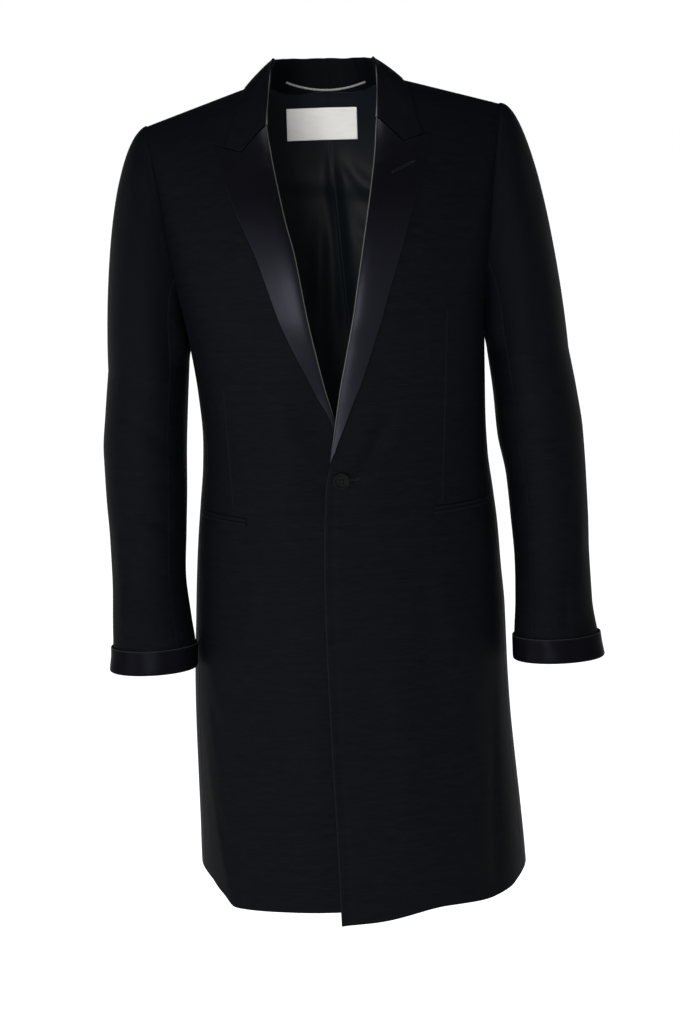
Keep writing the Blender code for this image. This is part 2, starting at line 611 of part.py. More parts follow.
# Sleeve rings from the cuff up: height, inner and outer distance from the centre, y of the middle, half-depth
SLEEVE = {
    RIGHT: (
        (-0.687, 0.1905, 0.2938, -0.062, 0.037),
        (-0.662, 0.1900, 0.2900, -0.056, 0.039),
        (-0.630, 0.1935, 0.2892, -0.046, 0.042),
        (-0.580, 0.1982, 0.2878, -0.030, 0.046),
        (-0.530, 0.1950, 0.2880, -0.021, 0.050),
        (-0.480, 0.1915, 0.2897, -0.013, 0.054),
        (-0.430, 0.1890, 0.2900, -0.006, 0.058),
        (-0.380, 0.1850, 0.2848, -0.001, 0.062),
        (-0.330, 0.1803, 0.2783, 0.004, 0.066),
    ),
    LEFT: (
        (-0.698, 0.1938, 0.3020, -0.062, 0.037),
        (-0.672, 0.1950, 0.2968, -0.056, 0.039),
        (-0.630, 0.1990, 0.2920, -0.045, 0.042),
        (-0.580, 0.2012, 0.2920, -0.030, 0.046),
        (-0.530, 0.1990, 0.2930, -0.021, 0.050),
        (-0.480, 0.1960, 0.2928, -0.013, 0.054),
        (-0.430, 0.1878, 0.2915, -0.006, 0.058),
        (-0.380, 0.1850, 0.2858, -0.001, 0.062),
        (-0.330, 0.1800, 0.2780, 0.004, 0.066),
    ),
}
# How the sleeve head leaves the shoulder outwards and down, and how it bends in to the arm below
HEAD_LEAVES = {RIGHT: (0.43, -0.20), LEFT: (0.35, -0.02)}
HEAD_ARRIVES = {RIGHT: 0.025, LEFT: 0.065}
# How far out, to the back and up the columns under the arm leave the armhole, those behind it, and how much less
# steeply those under the arm arrive
ARMPIT_LEAVES = (0.12, 0.0, -0.9)
ARM_SIDES_LEAVE = (0.50, 0.28, -0.55)
ARMPIT_ARRIVES = (0.0, 0.0, 0.1)
SLEEVE_COLUMNS = 20       # round the sleeve
CAP_ROWS = 8
ARM_ROWS = 8
SPLIT = 7                 # columns to each side of the top line, where the top sleeve meets the under sleeve
HEAD_STEP = 0.30          # how much of its thickness the sleeve head stands above the shoulder
CUFF_HEIGHT = 0.029       # turned back outside the sleeve, from its bottom fold
CUFF_INSIDE = 0.016       # and in the sleeve's end
CUFF_FLARE = 0.0012       # how much further out the cuff's free edge lies
CUFF_MIDDLE = 0.55        # share of its height at which it has a row between
CUFF_STOP = 0.0030        # how far above the cuff's bottom fold the sleeve ends


def arm_ring(side, z):
    """Ring of the sleeve at a height. It starts at the outside of the arm and goes round by the front."""
    turn = np.linspace(0, 2 * np.pi, SLEEVE_COLUMNS, endpoint=False)
    inner, outer, middle, deep = [smooth(z, SLEEVE[side], k)[:, None] for k in (1, 2, 3, 4)]
    x = (inner + outer) / 2 + (outer - inner) / 2 * np.cos(turn)
    y = middle - deep * np.sin(turn)
    return np.stack([side * x, y, np.repeat(z[:, None], SLEEVE_COLUMNS, axis=1)], axis=-1)


def sleeve_grid(side):
    """Whole sleeve from the armhole down: each column leaves the armhole outwards and bends down into the arm."""
    turn = np.linspace(0, 2 * np.pi, SLEEVE_COLUMNS, endpoint=False)
    down = np.where(turn <= np.pi, turn, 2 * np.pi - turn) / np.pi
    place = np.where(turn <= np.pi, smooth(down, ARMHOLE, 1), smooth(down, ARMHOLE, 2))
    level = armhole_level(down)
    seam = body(side, place, level)
    seam_normal = body_normal(side, place, level)
    proud = HEAD_STEP + (1 - HEAD_STEP) * step(down, 0.12, 0.45)
    start = seam + seam_normal * (proud * (CLOTH + LAY))[:, None]
    top_of_arm = np.array([SLEEVE[side][-1][0]])
    end = arm_ring(side, top_of_arm)[0]
    length = np.linalg.norm(end - start, axis=1)[:, None]
    over, under, beside = [w[:, None] for w in (
        np.maximum(np.cos(turn), 0) ** 2, np.maximum(-np.cos(turn), 0) ** 2, np.sin(turn) ** 2)]
    out, fall = HEAD_LEAVES[side]
    ahead = np.where(np.sin(turn) > 0, -1.0, 1.0)[:, None]
    mirror = np.array([side, 1.0, 1.0])
    leave = over * np.array([out, 0, fall]) + under * np.array(ARMPIT_LEAVES)
    leave = mirror * (leave + beside * (np.array(ARM_SIDES_LEAVE) * np.where(ahead < 0, [1, -1, 1], 1)))
    arrive = mirror * np.array([HEAD_ARRIVES[side], 0, -1.0]) + under * np.array(ARMPIT_ARRIVES)
    s = (np.arange(CAP_ROWS) / CAP_ROWS)[:, None, None]
    cap = (start * (2 * s**3 - 3 * s**2 + 1) + leave * length * (s**3 - 2 * s**2 + s)
           + end * (3 * s**2 - 2 * s**3) + arrive * length * (s**3 - s**2))
    cuff_fold = SLEEVE[side][0][0]
    arm = arm_ring(side, np.concatenate([
        np.linspace(top_of_arm[0], cuff_fold + CUFF_HEIGHT, ARM_ROWS),
        [cuff_fold + CUFF_HEIGHT * CUFF_MIDDLE, cuff_fold + CUFF_STOP]]))
    grid = np.concatenate([cap, arm])
    middle = grid.mean(axis=1, keepdims=True)
    normals = grid_normals(grid, grid - middle, around=True)
    normals[0] = unit(seam_normal + normals[0] * step(down, 0.0, 0.5)[:, None] * 0.4)
    return grid, normals


def sleeve(side):
    """Top sleeve and under sleeve, parted by seams along the front and the back of the arm."""
    grid, normals = sleeve_grid(side)
    columns = {
        "top_sleeve_": np.arange(-SPLIT, SPLIT + 1) % SLEEVE_COLUMNS,
        "under_sleeve_": np.arange(SPLIT, SLEEVE_COLUMNS - SPLIT + 1),
    }
    for name, pick in columns.items():
        outer = grid[:, pick]
        inner = outer - normals[:, pick] * CLOTH
        wall(name + SIDE_NAME[side], *seams(outer, inner, SEAM / 2, 0, SEAM, SEAM), WOOL)


def cuff(side):
    """Satin cuff turned back over the sleeve's end: up outside it, folded round its bottom and a little way in."""
    low = SLEEVE[side][0][0]
    # Distance out from the sleeve's outer face and height above the fold, for the shown and the hidden face
    lying = LAY + SATIN
    hidden = -CLOTH - LAY
    profile = (
        (lying + CUFF_FLARE, CUFF_HEIGHT, LAY + CUFF_FLARE, CUFF_HEIGHT),
        (lying + CUFF_FLARE * 0.6, CUFF_HEIGHT * CUFF_MIDDLE, LAY + CUFF_FLARE * 0.6, CUFF_HEIGHT * CUFF_MIDDLE),
        (lying, 0.0016, LAY, 0.0024),
        (-CLOTH / 2, 0.0, -CLOTH / 2, SATIN),
        (hidden - SATIN, 0.0016, hidden, 0.0024),
        (hidden - SATIN, CUFF_INSIDE, hidden, CUFF_INSIDE),
    )
    outer, inner = [], []
    for out_off, out_up, in_off, in_up in profile:
        for grid, off, rise in ((outer, out_off, out_up), (inner, in_off, in_up)):
            ring = arm_ring(side, np.array([low + rise - 1e-4, low + rise]))
            normal = grid_normals(ring, ring - ring.mean(axis=1, keepdims=True), around=True)
            grid.append(ring[1] + normal[1] * off)
    return wall("cuff_" + SIDE_NAME[side], np.array(outer), np.array(inner), SATIN_FINISH, around=True)


# Pocket mouths: x and height of the inner end, then of the outer end, to the pocket's own side
JETS = {RIGHT: (0.1180, -0.5075, 0.1700, -0.4945), LEFT: (0.1015, -0.5030, 0.1690, -0.4945)}
JET_WIDTH = 0.0095
# Section across both lips: share of the width, height of the lip
LIPS = (
    (-0.50, 0.0008),
    (-0.34, 0.0013),
    (-0.12, 0.0011),
    (0.00, 0.0005),
    (0.12, 0.0011),
    (0.34, 0.0013),
    (0.50, 0.0008),
)
JET_GAP = 0.0006          # the front's flat facets lie a little inside its curve


def jets(side):
    """Double jet: two rounded lips along the pocket's slit, joined round it, on the front."""
    x0, z0, x1, z1 = JETS[side]
    along = np.linspace(0, 1, 9)[:, None]
    across, lip = np.array(LIPS).T
    x = x0 + (x1 - x0) * along + across * 0
    z = z0 + (z1 - z0) * along + JET_WIDTH * across
    level = z - UNDERARM_Z
    points, normals = front_surface(side, place_of(side, x, level), level)
    outer = points + normals * (JET_GAP + lip)[None, :, None]
    return wall("jets_" + SIDE_NAME[side], outer, points + normals * JET_GAP, WOOL)


# Creases of the back lining: start x and level, end x and level, half-width, height towards the inside
LINING_FOLDS = (
    (0.004, 0.150, 0.016, -0.060, 0.009, 0.0045),
    (-0.006, 0.110, -0.030, -0.180, 0.013, 0.0040),
    (-0.070, 0.128, 0.075, 0.112, 0.010, 0.0025),
    (0.015, 0.140, 0.090, 0.095, 0.009, 0.0030),
    (-0.080, 0.090, -0.015, 0.050, 0.012, 0.0030),
    (0.060, -0.050, 0.075, -0.420, 0.020, 0.0040),
    (-0.080, -0.120, -0.095, -0.480, 0.020, 0.0040),
)
LINING_LOW = -0.640       # level of its lower edge
LINING_TOP = 0.200        # and of its top one, before that follows the neckline
LINING_SIDE = 0.44        # place round the body of its side edges below the armhole
LINING_ARMHOLE = 0.668    # and along it
LINING_CLEAR = 0.0014     # gap behind the lining, and the same where the upper back curves most
LINING_CLEAR_HIGH = 0.0026


def lining_surface(side, place, level):
    """Face of the lining that shows inside the coat, and the direction out of the coat there."""
    points = body(side, place, level)
    normals = body_normal(side, place, level)
    height = np.zeros(np.broadcast(place, level).shape)
    for x0, z0, x1, z1, spread, rise in LINING_FOLDS:
        along = np.array([x1 - x0, z1 - z0])
        length = np.linalg.norm(along)
        along = along / length
        s = ((points[..., 0] - x0) * along[0] + (level - z0) * along[1]) / length
        off = (points[..., 0] - x0) * along[1] - (level - z0) * along[0]
        height = height + rise * step(s, -0.1, 0.3) * step(s, 1.1, 0.7) * np.exp(-(off / spread) ** 2)
    clear = LINING_CLEAR + (LINING_CLEAR_HIGH - LINING_CLEAR) * step(level, 0.10, 0.18)
    return points - normals * (CLOTH + clear + LINING + height)[..., None], normals


def back_lining():
    """Back lining, in one piece from under one arm to under the other, with soft creases."""
    levels = np.concatenate([
        LEVELS[(LEVELS > LINING_LOW) & (LEVELS < 0.12)], [0.130, 0.147, 0.162, 0.176, 0.189, LINING_TOP]])
    share = np.linspace(0, 1, BACK_COLUMNS)
    halves = []
    for side in (RIGHT, LEFT):
        neck = 1 - place_of(side, NECK_X, SCYE, at_back=True)
        low = LINING_SIDE + (LINING_ARMHOLE - LINING_SIDE) * step(levels, -0.05, 0.03)
        place = 1 - columns_between(1 - low[:, None], 0.0, share)
        stop = SCYE - neck_dip((1 - place) / neck) - COLLAR_TUCK * 1.35
        level = levels[:, None] + (stop - LINING_TOP) * step(levels[:, None], GORGE_LEVEL - 0.07, LINING_TOP)
        halves.append(lining_surface(side, place, level))
    right, left = halves
    shown = np.concatenate([right[0], left[0][:, -2::-1]], axis=1)
    normals = np.concatenate([right[1], left[1][:, -2::-1]], axis=1)
    return wall("back_lining", shown, shown + normals * LINING, LINING_FINISH)


# Label: middle, size and tilt
LABEL_MIDDLE = (-0.0053, -0.0480)
LABEL_SIZE = (0.088, 0.040)
LABEL_TILT = np.radians(-1.2)
LABEL_THICKNESS = 0.0010
LABEL_GAP = 0.0008


def label():
    """Bare woven label on the lining, below the neck."""
    u, v = np.meshgrid(np.linspace(-0.5, 0.5, 7), np.linspace(-0.5, 0.5, 5))
    across, up = u * LABEL_SIZE[0], v * LABEL_SIZE[1]
    x = LABEL_MIDDLE[0] + across * np.cos(LABEL_TILT) - up * np.sin(LABEL_TILT)
    z = LABEL_MIDDLE[1] + across * np.sin(LABEL_TILT) + up * np.cos(LABEL_TILT)
    side = np.where(x < 0, RIGHT, LEFT)
    points = np.zeros((*x.shape, 3))
    normals = np.zeros((*x.shape, 3))
    for which in (RIGHT, LEFT):
        own = np.maximum(x * which, 1e-5)
        level = level_of(which, own, z)
        place = place_of(which, own, level, at_back=True)
        found, facing = lining_surface(which, place, level)
        points = np.where((side == which)[..., None], found, points)
        normals = np.where((side == which)[..., None], facing, normals)
    back_face = points - normals * LABEL_GAP
    return wall("label", back_face - normals * LABEL_THICKNESS, back_face, LABEL_FINISH)


def tube(name, path, radius, finish, sides=8):
    """Round bar along a path, closed at both ends."""
    along = unit(np.gradient(path, axis=0))
    first = unit(np.cross(along, np.array([0.0, 1.0, 0.0])))
    second = np.cross(along, first)
    turn = np.linspace(0, 2 * np.pi, sides, endpoint=False)
    rings = (path[:, None] + radius * (first[:, None] * np.cos(turn)[None, :, None]
                                        + second[:, None] * np.sin(turn)[None, :, None]))
    index = np.arange(rings.shape[0] * sides).reshape(-1, sides)
    faces = [tuple(f) for f in quads(index, around_columns=True)]
    faces += [tuple(index[0][::-1]), tuple(index[-1])]
    return solid(name, rings.reshape(-1, 3), faces, finish)


LOOP_ENDS = (-0.0512, 0.0000, 0.0553, -0.0038)   # x and height at the neckline of each sewn end
LOOP_SAG = 0.0088
LOOP_RADIUS = 0.0013
LOOP_IN = STAND_IN + 0.0036   # how far inside the neckline the loop hangs
LOOP_POINTS = 17


def hanger_loop():
    """Thin loop at the back neck, sewn down at both ends and hanging in a shallow curve."""
    s = np.linspace(0, 1, LOOP_POINTS)
    x0, z0, x1, z1 = LOOP_ENDS
    x = x0 + (x1 - x0) * s
    z = z0 + (z1 - z0) * s - LOOP_SAG * 4 * s * (1 - s)
    curve = bpy.data.curves.new("hanger_loop", "CURVE")
    curve.dimensions = "3D"
    curve.bevel_depth = LOOP_RADIUS
    curve.bevel_resolution = 2
    curve.use_fill_caps = True
    curve.materials.append(CORD_FINISH)
    spline = curve.splines.new("POLY")
    spline.points.add(len(s) - 1)
    share = np.linspace(0, 1, 60)
    for point, px, pz in zip(spline.points, x, z):
        side = RIGHT if px < 0 else LEFT
        neck = 1 - place_of(side, NECK_X, SCYE, at_back=True)
        line = body(side, 1 - neck * share, SCYE - neck_dip(share))
        foot = np.array([px, np.interp(abs(px), np.abs(line[:, 0]), line[:, 1]), pz])
        at = foot + unit(foot * np.array([-1.0, -1.0, 0.0])) * LOOP_IN
        point.co = (*at, 1.0)
    made = bpy.data.objects.new("hanger_loop", curve)
    bpy.context.collection.objects.link(made)
    made.parent = garment


# Button: x and height, radius, and how far off its middle each hole is, across and up
BUTTON_AT = (-0.0041, -0.4598)
BUTTON_RADIUS = 0.0100
BUTTON_SIDES = 28
HOLE_OFF = 0.0019
HOLE_RADIUS = 0.0009
BUTTON_GAP = 0.0007       # off the front, on its thread
DRILL_BELOW = 0.003       # reach of the holes' cutters below and above the button's back
DRILL_ABOVE = 0.006


def button():
    """Round button with a raised rim and four holes, on the left front."""
    level = BUTTON_AT[1] - UNDERARM_Z
    place = place_of(LEFT, np.array(BUTTON_AT[0]), level)
    seat, normal = front_surface(LEFT, place, level)
    across = unit(np.cross(np.array([0.0, 0.0, 1.0]), normal))
    up = np.cross(normal, across)
    # Radius and height of the turned profile, from the middle of the back to the middle of the front
    profile = ((0.0, 0.0), (0.0080, 0.0), (0.0096, 0.0008), (BUTTON_RADIUS, 0.0018), (0.0096, 0.0030),
               (0.0086, 0.0034), (0.0074, 0.0029), (0.0062, 0.0021), (0.0, 0.0019))
    turn = np.linspace(0, 2 * np.pi, BUTTON_SIDES, endpoint=False)
    middle = seat + normal * BUTTON_GAP
    points = [middle + normal * profile[0][1]]
    for radius, height in profile[1:-1]:
        ring = middle + normal * height + radius * (across * np.cos(turn)[:, None] + up * np.sin(turn)[:, None])
        points.extend(ring)
    points.append(middle + normal * profile[-1][1])
    rings = np.arange(1, 1 + BUTTON_SIDES * (len(profile) - 2)).reshape(-1, BUTTON_SIDES)
    faces = [tuple(f) for f in quads(rings, around_columns=True)]
    for i in range(BUTTON_SIDES):
        j = (i + 1) % BUTTON_SIDES
        faces.append((0, rings[0][j], rings[0][i]))
        faces.append((len(points) - 1, rings[-1][i], rings[-1][j]))
    disc = solid("button", points, faces, HORN)
    for k in range(4):
        angle = np.pi / 4 + k * np.pi / 2
        at = middle + HOLE_OFF * np.sqrt(2) * (across * np.cos(angle) + up * np.sin(angle))
        ends = np.array([at - normal * DRILL_BELOW, at + normal * DRILL_ABOVE])
        drill = tube(f"button_hole_{k + 1}", ends, HOLE_RADIUS, HORN)
        drill.hide_render = True
        drill.display_type = "WIRE"
        cut = disc.modifiers.new(f"hole_{k + 1}", "BOOLEAN")
        cut.operation = "DIFFERENCE"
        cut.object = drill
    return disc


for wearer_side in (RIGHT, LEFT):
    front(wearer_side)
    side_panel(wearer_side)
    back(wearer_side)
    sleeve(wearer_side)
    cuff(wearer_side)
    lapel(wearer_side)
    jets(wearer_side)
collar()
back_lining()
label()
hanger_loop()
button()
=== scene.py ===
"""The looks of a long one-button evening coat, filled out and hollow as when it is worn.

Each sewn piece is made finely on the same curved body as its solid and takes that solid's place.
Metres, +Z up, the front faces -Y, the wearer's left is +X, and the origin lies between the two neck points.
"""

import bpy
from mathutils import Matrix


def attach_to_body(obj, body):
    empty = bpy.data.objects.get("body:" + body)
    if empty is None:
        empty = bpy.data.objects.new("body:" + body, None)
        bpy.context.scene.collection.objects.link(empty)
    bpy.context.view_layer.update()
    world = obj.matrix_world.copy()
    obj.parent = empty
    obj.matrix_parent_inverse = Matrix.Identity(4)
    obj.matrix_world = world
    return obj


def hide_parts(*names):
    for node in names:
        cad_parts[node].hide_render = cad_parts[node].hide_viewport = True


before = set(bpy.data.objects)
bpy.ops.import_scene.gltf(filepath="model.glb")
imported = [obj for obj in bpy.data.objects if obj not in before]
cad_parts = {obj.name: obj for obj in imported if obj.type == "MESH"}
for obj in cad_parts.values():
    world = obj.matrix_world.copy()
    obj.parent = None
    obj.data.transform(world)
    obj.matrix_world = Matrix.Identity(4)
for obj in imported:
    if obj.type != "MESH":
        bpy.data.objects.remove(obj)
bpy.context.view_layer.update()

import bpy
import numpy as np
from mathutils import Matrix

# Camera: far enough for a flat, catalogue-like view, just below the coat's shoulders and looking slightly down,
# with the picture turned three degrees as in the photograph.
CAMERA_AT = (-0.0075, -2.45, -0.07)
LOOKS_DOWN = 10.3
TURNED = -2.95
camera_data = bpy.data.cameras.new("camera")
camera_data.sensor_width = 36.0
camera_data.lens = 71.9
camera = bpy.data.objects.new("camera", camera_data)
camera.matrix_world = (Matrix.Translation(CAMERA_AT) @ Matrix.Rotation(np.radians(90 - LOOKS_DOWN), 4, "X")
                       @ Matrix.Rotation(np.radians(TURNED), 4, "Z"))
bpy.context.collection.objects.link(camera)
bpy.context.scene.camera = camera

# Fronts: two panels of fine navy wool and mohair, from the lapel's roll to the side seam, faced with the same cloth
# along the edge and lined behind. The left one laps over the right. Each is pressed over canvas, so it lies smooth
# at the chest and drapes in long soft folds below the pocket.
RIGHT, LEFT = -1, 1
SIDE_NAME = {RIGHT: "right", LEFT: "left"}
CLOTH = 0.0020
LAY = 0.0004
SEAM_LAP = -0.00015                    # two pieces pass each other by this much inside a seam
TOP_SEAM = 0.0008                      # gap between lapel and collar along the gorge
SATIN = 0.0012
ROLL_RADIUS = CLOTH / 2 + LAY + SATIN
UNDERARM_Z = -0.270
SCYE = 0.226
OVAL = 0.8
NECK_X, NECK_Z = 0.070, 0.0025
NECK_FALL = 0.325
NECK_SOFT = 0.012
SHOULDER_FALL = {RIGHT: 0.321, LEFT: 0.296}
FRONT_ROUND, BACK_ROUND = 2.2, 3.0
HEM_LEVEL = -0.725
HEM_FADE = 0.22                        # the hem's line fades out over this height
BREAK_LEVEL = -0.170
GORGE_LEVEL = 0.182
FRONT_SEAM, BACK_SEAM = 0.402, 0.632
SEAMS_MEET = 0.70                      # share of the way down the armhole where both side seams run into it
OVERLAP_FULL_X, OVERLAP_END_X = 0.020, 0.075

# Level from the underarm line, half-width at the wearer's right and left, depth to the front and the back
BODY = (
    (-0.740, 0.2032, 0.2050, 0.142, 0.140), (-0.680, 0.2030, 0.2025, 0.140, 0.137),
    (-0.620, 0.2015, 0.1988, 0.138, 0.134), (-0.560, 0.2003, 0.1945, 0.136, 0.130),
    (-0.500, 0.1990, 0.1908, 0.134, 0.127), (-0.440, 0.1965, 0.1892, 0.132, 0.124),
    (-0.370, 0.1912, 0.1888, 0.130, 0.120), (-0.320, 0.1872, 0.1860, 0.128, 0.116),
    (-0.270, 0.1822, 0.1838, 0.125, 0.110), (-0.225, 0.1765, 0.1797, 0.122, 0.104),
    (-0.180, 0.1708, 0.1752, 0.120, 0.098), (-0.140, 0.1686, 0.1742, 0.119, 0.094),
    (-0.090, 0.1712, 0.1752, 0.121, 0.098), (-0.040, 0.1767, 0.1765, 0.126, 0.107),
    (0.000, 0.1832, 0.1790, 0.130, 0.114), (0.040, 0.1930, 0.1860, 0.131, 0.119),
    (0.094, 0.2050, 0.1965, 0.130, 0.120), (0.154, 0.2165, 0.2080, 0.126, 0.118),
    (0.226, 0.2320, 0.2240, 0.120, 0.114),
)
# Armhole: share of the way down, place round the body of its front and its back edge
ARMHOLE = (
    (0.00, 0.357, 0.643), (0.20, 0.358, 0.652), (0.40, 0.366, 0.658), (0.55, 0.381, 0.652),
    (0.70, 0.402, 0.632), (0.85, 0.440, 0.585), (1.00, 0.500, 0.500),
)
# Inner edge of each front: level, x of the left front, x of the right front
FRONT_EDGE = (
    (-0.740, -0.0310, 0.0200), (-0.620, -0.0313, 0.0200), (-0.515, -0.0320, 0.0200), (-0.425, -0.0320, 0.0200),
    (-0.345, -0.0313, 0.0200), (-0.280, -0.0290, 0.0200), (-0.205, -0.0235, 0.0190), (-0.170, -0.0191, 0.0085),
    (-0.135, -0.0111, -0.0030), (-0.110, -0.0060, -0.0098), (-0.082, -0.0004, -0.0176), (-0.038, 0.0099, -0.0262),
    (0.015, 0.0219, -0.0357), (0.060, 0.0326, -0.0437), (0.087, 0.0388, -0.0510), (0.114, 0.0449, -0.0568),
    (0.151, 0.0522, -0.0637), (0.182, 0.0565, -0.0680), (0.226, 0.0700, -0.0700),
)
# How far each front stands out from the body where one laps over the other: level, left, right
OVERLAP = (
    (-0.740, 0.0010, -0.0016), (-0.240, 0.0010, -0.0016), (-0.190, 0.0022, -0.0050),
    (-0.095, 0.0022, -0.0050), (-0.020, 0.0000, 0.0000), (0.226, 0.0000, 0.0000),
)
# Hem line: place round the body, rise above HEM_LEVEL at the wearer's right and left
HEM = (
    (-0.060, 0.0145, -0.0035), (0.000, 0.0145, 0.0000), (0.130, 0.0155, 0.0135), (0.240, 0.0145, 0.0120),
    (0.268, 0.0150, 0.0130), (0.300, 0.0255, 0.0150), (0.330, 0.0330, 0.0172), (0.360, 0.0405, 0.0212),
    (0.420, 0.0460, 0.0258), (0.500, 0.0475, 0.0272), (0.700, 0.0360, 0.0270), (1.000, 0.0200, 0.0200),
)
# Folds of the body cloth: face (-1 front, 1 back), start x and level, end x and level, half-width, height, bow
FOLDS = (
    (-1, 0.012, -0.190, 0.058, -0.108, 0.010, -0.0032, 0.003),
    (-1, -0.100, -0.045, -0.045, -0.175, 0.018, 0.0030, 0.006),
    (-1, -0.178, -0.400, -0.157, -0.485, 0.009, 0.0035, 0.002),
    (-1, -0.184, -0.450, -0.162, -0.620, 0.010, 0.0045, 0.004),
    (-1, -0.188, -0.545, -0.160, -0.720, 0.011, 0.0045, 0.004),
    (-1, -0.108, -0.270, -0.123, -0.560, 0.018, 0.0028, 0.004),
    (-1, -0.181, -0.440, -0.156, -0.590, 0.0050, 0.0026, 0.002),
    (-1, -0.184, -0.520, -0.163, -0.700, 0.0045, 0.0024, 0.002),
    (-1, -0.172, -0.480, -0.150, -0.640, 0.0050, -0.0018, 0.002),
    (-1, 0.176, -0.420, 0.168, -0.680, 0.0055, 0.0022, 0.002),
    (-1, 0.158, -0.540, 0.153, -0.700, 0.0050, 0.0018, 0.002),
    (-1, 0.166, -0.530, 0.160, -0.715, 0.009, -0.0045, 0.002),
    (-1, 0.186, -0.400, 0.181, -0.700, 0.012, 0.0040, 0.002),
    (-1, 0.115, -0.330, 0.138, -0.580, 0.020, 0.0024, -0.004),
    (-1, 0.100, -0.118, 0.168, -0.098, 0.009, -0.0011, 0.003),
    (-1, 0.092, -0.160, 0.170, -0.150, 0.010, 0.0012, -0.003),
    (-1, -0.166, -0.098, -0.105, -0.128, 0.009, -0.0012, 0.003),
    (-1, -0.168, -0.155, -0.100, -0.168, 0.010, 0.0012, 0.003),
    (-1, 0.140, 0.150, 0.122, 0.010, 0.020, 0.0015, 0.004),
    (-1, -0.145, 0.150, -0.125, 0.010, 0.020, 0.0015, -0.004),
    (-1, 0.176, 0.060, 0.158, -0.030, 0.009, -0.0016, 0.003),
    (-1, -0.182, 0.060, -0.160, -0.030, 0.009, -0.0016, -0.003),
    (-1, 0.052, -0.350, 0.060, -0.650, 0.018, 0.0012, 0.003),
    (-1, 0.090, -0.300, 0.097, -0.520, 0.014, -0.0010, -0.003),
    (-1, -0.052, -0.400, -0.060, -0.670, 0.018, 0.0013, -0.004),
    (-1, -0.020, -0.192, -0.075, -0.150, 0.008, -0.0012, -0.003),
    (1, -0.060, -0.250, -0.085, -0.640, 0.020, 0.0040, 0.006),
    (1, 0.070, -0.270, 0.095, -0.680, 0.022, 0.0038, -0.006),
    (1, -0.150, -0.330, -0.140, -0.700, 0.014, 0.0040, 0.003),
    (1, 0.155, -0.300, 0.150, -0.700, 0.013, -0.0035, 0.003),
    (1, -0.120, -0.150, 0.110, -0.165, 0.014, -0.0025, 0.010),
    (1, -0.110, 0.020, -0.140, 0.120, 0.014, -0.0028, 0.004),
    (1, 0.110, 0.030, 0.140, 0.130, 0.014, -0.0028, -0.004),
    (1, 0.030, -0.330, 0.036, -0.650, 0.016, 0.0018, 0.003),
    (1, -0.028, -0.360, -0.034, -0.680, 0.015, 0.0018, -0.003),
    (1, 0.060, -0.120, 0.150, -0.092, 0.010, 0.0014, 0.004),
    (1, -0.060, -0.115, -0.150, -0.090, 0.010, 0.0014, 0.004),
)
FOLD_WIDTH = (0.82, 0.36)              # of a fold's half-width: what it starts with, and what is added to its end
FOLD_TROUGH = (0.28, 1.8, 1.2)         # depth, distance and half-width of the trough beside it, in its own measures
FOLD_UNEVEN = (0.18, 40.0, 50.0)       # how uneven its height is, how fast along it, and from one fold to the next
FOLD_ENDS = (0.15, 0.30)               # it begins this share of its length before its end, and is full this far on


def smooth(at, table, column):
    """Values of one column of a table at places in its first: cubic pieces whose slopes are the harmonic mean of
    the rises to both sides, so that the curve never swings past a row."""
    rows = np.array(table, float)
    xs, ys = rows[:, 0], rows[:, column]
    rises = np.diff(ys) / np.diff(xs)
    before, after = rises[:-1], rises[1:]
    same_way = before * after > 0
    inner = np.where(same_way, 2 * before * after / np.where(same_way, before + after, 1), 0)
    slopes = np.concatenate([rises[:1], inner, rises[-1:]])
    at = np.clip(at, xs[0], xs[-1])
    i = np.clip(np.searchsorted(xs, at, side="right") - 1, 0, len(xs) - 2)
    h = xs[i + 1] - xs[i]
    t = (at - xs[i]) / h
    ends = ys[i] * (2 * t**3 - 3 * t**2 + 1) + ys[i + 1] * (3 * t**2 - 2 * t**3)
    return ends + h * (slopes[i] * (t**3 - 2 * t**2 + t) + slopes[i + 1] * (t**3 - t**2))


def step(x, low, high):
    """0 below low, 1 above high, and 3t2 - 2t3 between them."""
    t = np.clip((x - low) / (high - low), 0.0, 1.0)
    return t * t * (3 - 2 * t)


def unit(v):
    """Vectors divided by their lengths."""
    return v / np.maximum(np.linalg.norm(v, axis=-1, keepdims=True), 1e-12)


def signed_power(value, power):
    """A power of a value's size, with the sign of the value."""
    return np.sign(value) * np.abs(value) ** power


def fold_height(table, across, level, face):
    """Sum of soft folds. Each is a bell across a bowed line, wider towards its end, with a shallower trough on one
    side of it, uneven along its length and fading out at both ends."""
    (narrow, widens), (depth, aside, spreads) = FOLD_WIDTH, FOLD_TROUGH
    (uneven, waves, shift), (before, after) = FOLD_UNEVEN, FOLD_ENDS
    height = np.zeros(np.broadcast(across, level).shape)
    for which, x0, z0, x1, z1, spread, rise, bow in table:
        along = np.array([x1 - x0, z1 - z0])
        length = np.linalg.norm(along)
        along = along / length
        s = ((across - x0) * along[0] + (level - z0) * along[1]) / length
        off = (across - x0) * along[1] - (level - z0) * along[0] - bow * 4 * s * (1 - s)
        wide = spread * (narrow + widens * np.clip(s, 0, 1))
        bell = np.exp(-(off / wide) ** 2) - depth * np.exp(-((off - aside * wide) / (spreads * wide)) ** 2)
        varied = 1 + uneven * np.sin(length * waves * s + shift * x0)
        ends = step(s, -before, after) * step(s, 1 + before, 1 - after)
        height = height + (face == which) * rise * varied * ends * bell
    return height


def seam_height(x, side):
    """Height of the shoulder line: a straight fall outside the neck point and another inside it, rounded in the
    middle as the square root of x squared and a small square."""
    out = np.sqrt(x**2 + NECK_SOFT**2) - NECK_X
    return NECK_Z - np.where(out > 0, SHOULDER_FALL[side], NECK_FALL) * out


